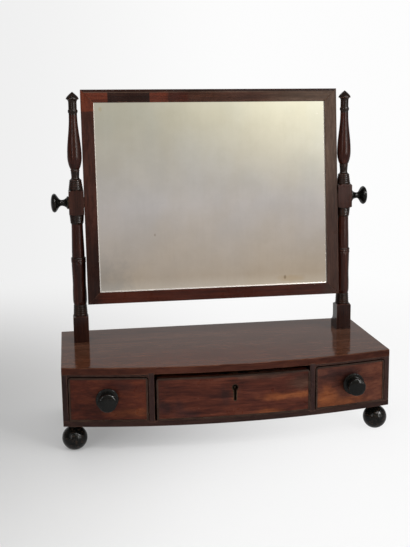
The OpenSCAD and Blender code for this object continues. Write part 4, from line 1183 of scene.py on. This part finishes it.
def card_material():
    material, tree, shader = new_material("room_card")
    place = own_place(tree)
    x, y, z = axes_of(tree, place)
    colour = colour_ramp(tree, map_range(tree, z, CARD_LOW, CARD_HIGH, kind="LINEAR"), CARD_TONES)
    shade = times(tree, map_range(tree, x, *MIDDLE_SHADE), map_range(tree, x, *LEFT_SHADE))
    colour = blend(tree, 1.0, colour, shade, "MULTIPLY")
    lit = map_range(tree, away_from(tree, place, WINDOW, WINDOW_REACH), 1.0, 0.0)
    colour = blend(tree, lit, colour, WINDOW_LIGHT)
    bearing = math_node(tree, "ARCTAN2", x, times(tree, y, -1.0))
    from_side = math_node(tree, "ABSOLUTE", minus(tree, bearing, SIDE_WINDOW))
    open_side = map_range(tree, from_side, SIDE_REACH + SIDE_SOFT, SIDE_REACH - SIDE_SOFT)
    show(tree, emission(tree, blend(tree, open_side, colour, SIDE_LIGHT)))
    return material


def only_reflected(piece):
    piece.visible_camera = False
    piece.visible_diffuse = False
    piece.visible_shadow = False
    piece.visible_transmission = False
    piece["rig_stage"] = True
    return piece


def card():
    columns = range(CARD_COLUMNS + 1)
    angles = [CARD_SPREAD * (2 * column / CARD_COLUMNS - 1) for column in columns]
    corners = [
        (CARD_RADIUS * math.sin(angle), -CARD_RADIUS * math.cos(angle), height)
        for height in (CARD_LOW, CARD_HIGH)
        for angle in angles
    ]
    up = CARD_COLUMNS + 1
    faces = [(at, at + 1, at + 1 + up, at + up) for at in range(CARD_COLUMNS)]
    mesh = bpy.data.meshes.new("room_card")
    mesh.from_pydata(corners, [], faces)
    mesh.materials.append(card_material())
    return only_reflected(put("room_card", mesh))


print("card with", len(card().data.polygons), "faces")

# %% The skylight
AIM = Vector((0, 0, 0.2))
SKYLIGHT_PLACE = (0.7, -1.5, 2.1)
SKYLIGHT_HALF = (0.6, 0.4)
SKYLIGHT_LIGHT, SKYLIGHT_STRENGTH = (1, 0.98, 0.95, 1), 9.0


def aim(piece, place):
    piece.location = place
    piece.rotation_euler = (AIM - Vector(place)).to_track_quat("-Z", "Y").to_euler()


def skylight():
    x, y = SKYLIGHT_HALF
    mesh = bpy.data.meshes.new("skylight")
    mesh.from_pydata([(-x, -y, 0), (x, -y, 0), (x, y, 0), (-x, y, 0)], [], [(0, 1, 2, 3)])
    material, tree, shader = new_material("skylight")
    show(tree, emission(tree, SKYLIGHT_LIGHT, SKYLIGHT_STRENGTH))
    mesh.materials.append(material)
    piece = put("skylight", mesh)
    aim(piece, SKYLIGHT_PLACE)
    return only_reflected(piece)


print("skylight at", tuple(round(value, 2) for value in skylight().location))

# %% [markdown]
# ## Lamps
# A large key lamp at the right, a weak one at the left and one behind give the soft light of the
# photograph. Two tall strips draw the thin lines of light on the turned posts. Its small, sharp
# glints on knobs and feet come from one more lamp, the pane: it lights only the turned pieces and
# only their polish, because it would glare on the case top.

# %% Lamps
LAMPS = {
    "key": ((1.7, -1.4, 1.6), (0.8, 0.8), 13),
    "pane": ((1.68, -1.39, 1.62), (0.5, 0.5), 24),
    "fill": ((-1.5, -1.6, 1.2), (1.3, 1.3), 5),
    "rim": ((-0.4, 1.6, 1.6), (1.2, 1.2), 4),
    "right strip": ((0.95, -1.6, 0.75), (0.25, 1.3), 11),
    "left strip": ((-1.2, -1.5, 0.7), (0.1, 1.1), 3),
    "high": ((-0.45, -1.5, 2.2), (0.16, 0.16), 6),
}
for name, (place, size, watts) in LAMPS.items():
    lamp = bpy.data.lights.new(name, "AREA")
    lamp.shape = "RECTANGLE"
    lamp.size, lamp.size_y = size
    lamp.energy = watts
    aim(put(name, lamp), place)

turned_pieces = bpy.data.collections.new("turned pieces")
for node in KNOBS + FEET + both("post"):
    turned_pieces.objects.link(nodes[node])
pane = bpy.data.objects["pane"]
pane.visible_diffuse = False
pane.light_linking.receiver_collection = turned_pieces

# %% [markdown]
# ## Last lines
# The picture is shown without any tone curve, so a colour comes out as it was written. Last, the
# bounds of the dressed model are measured.

# %% Finish
scene.view_settings.view_transform = "Standard"
low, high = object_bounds()
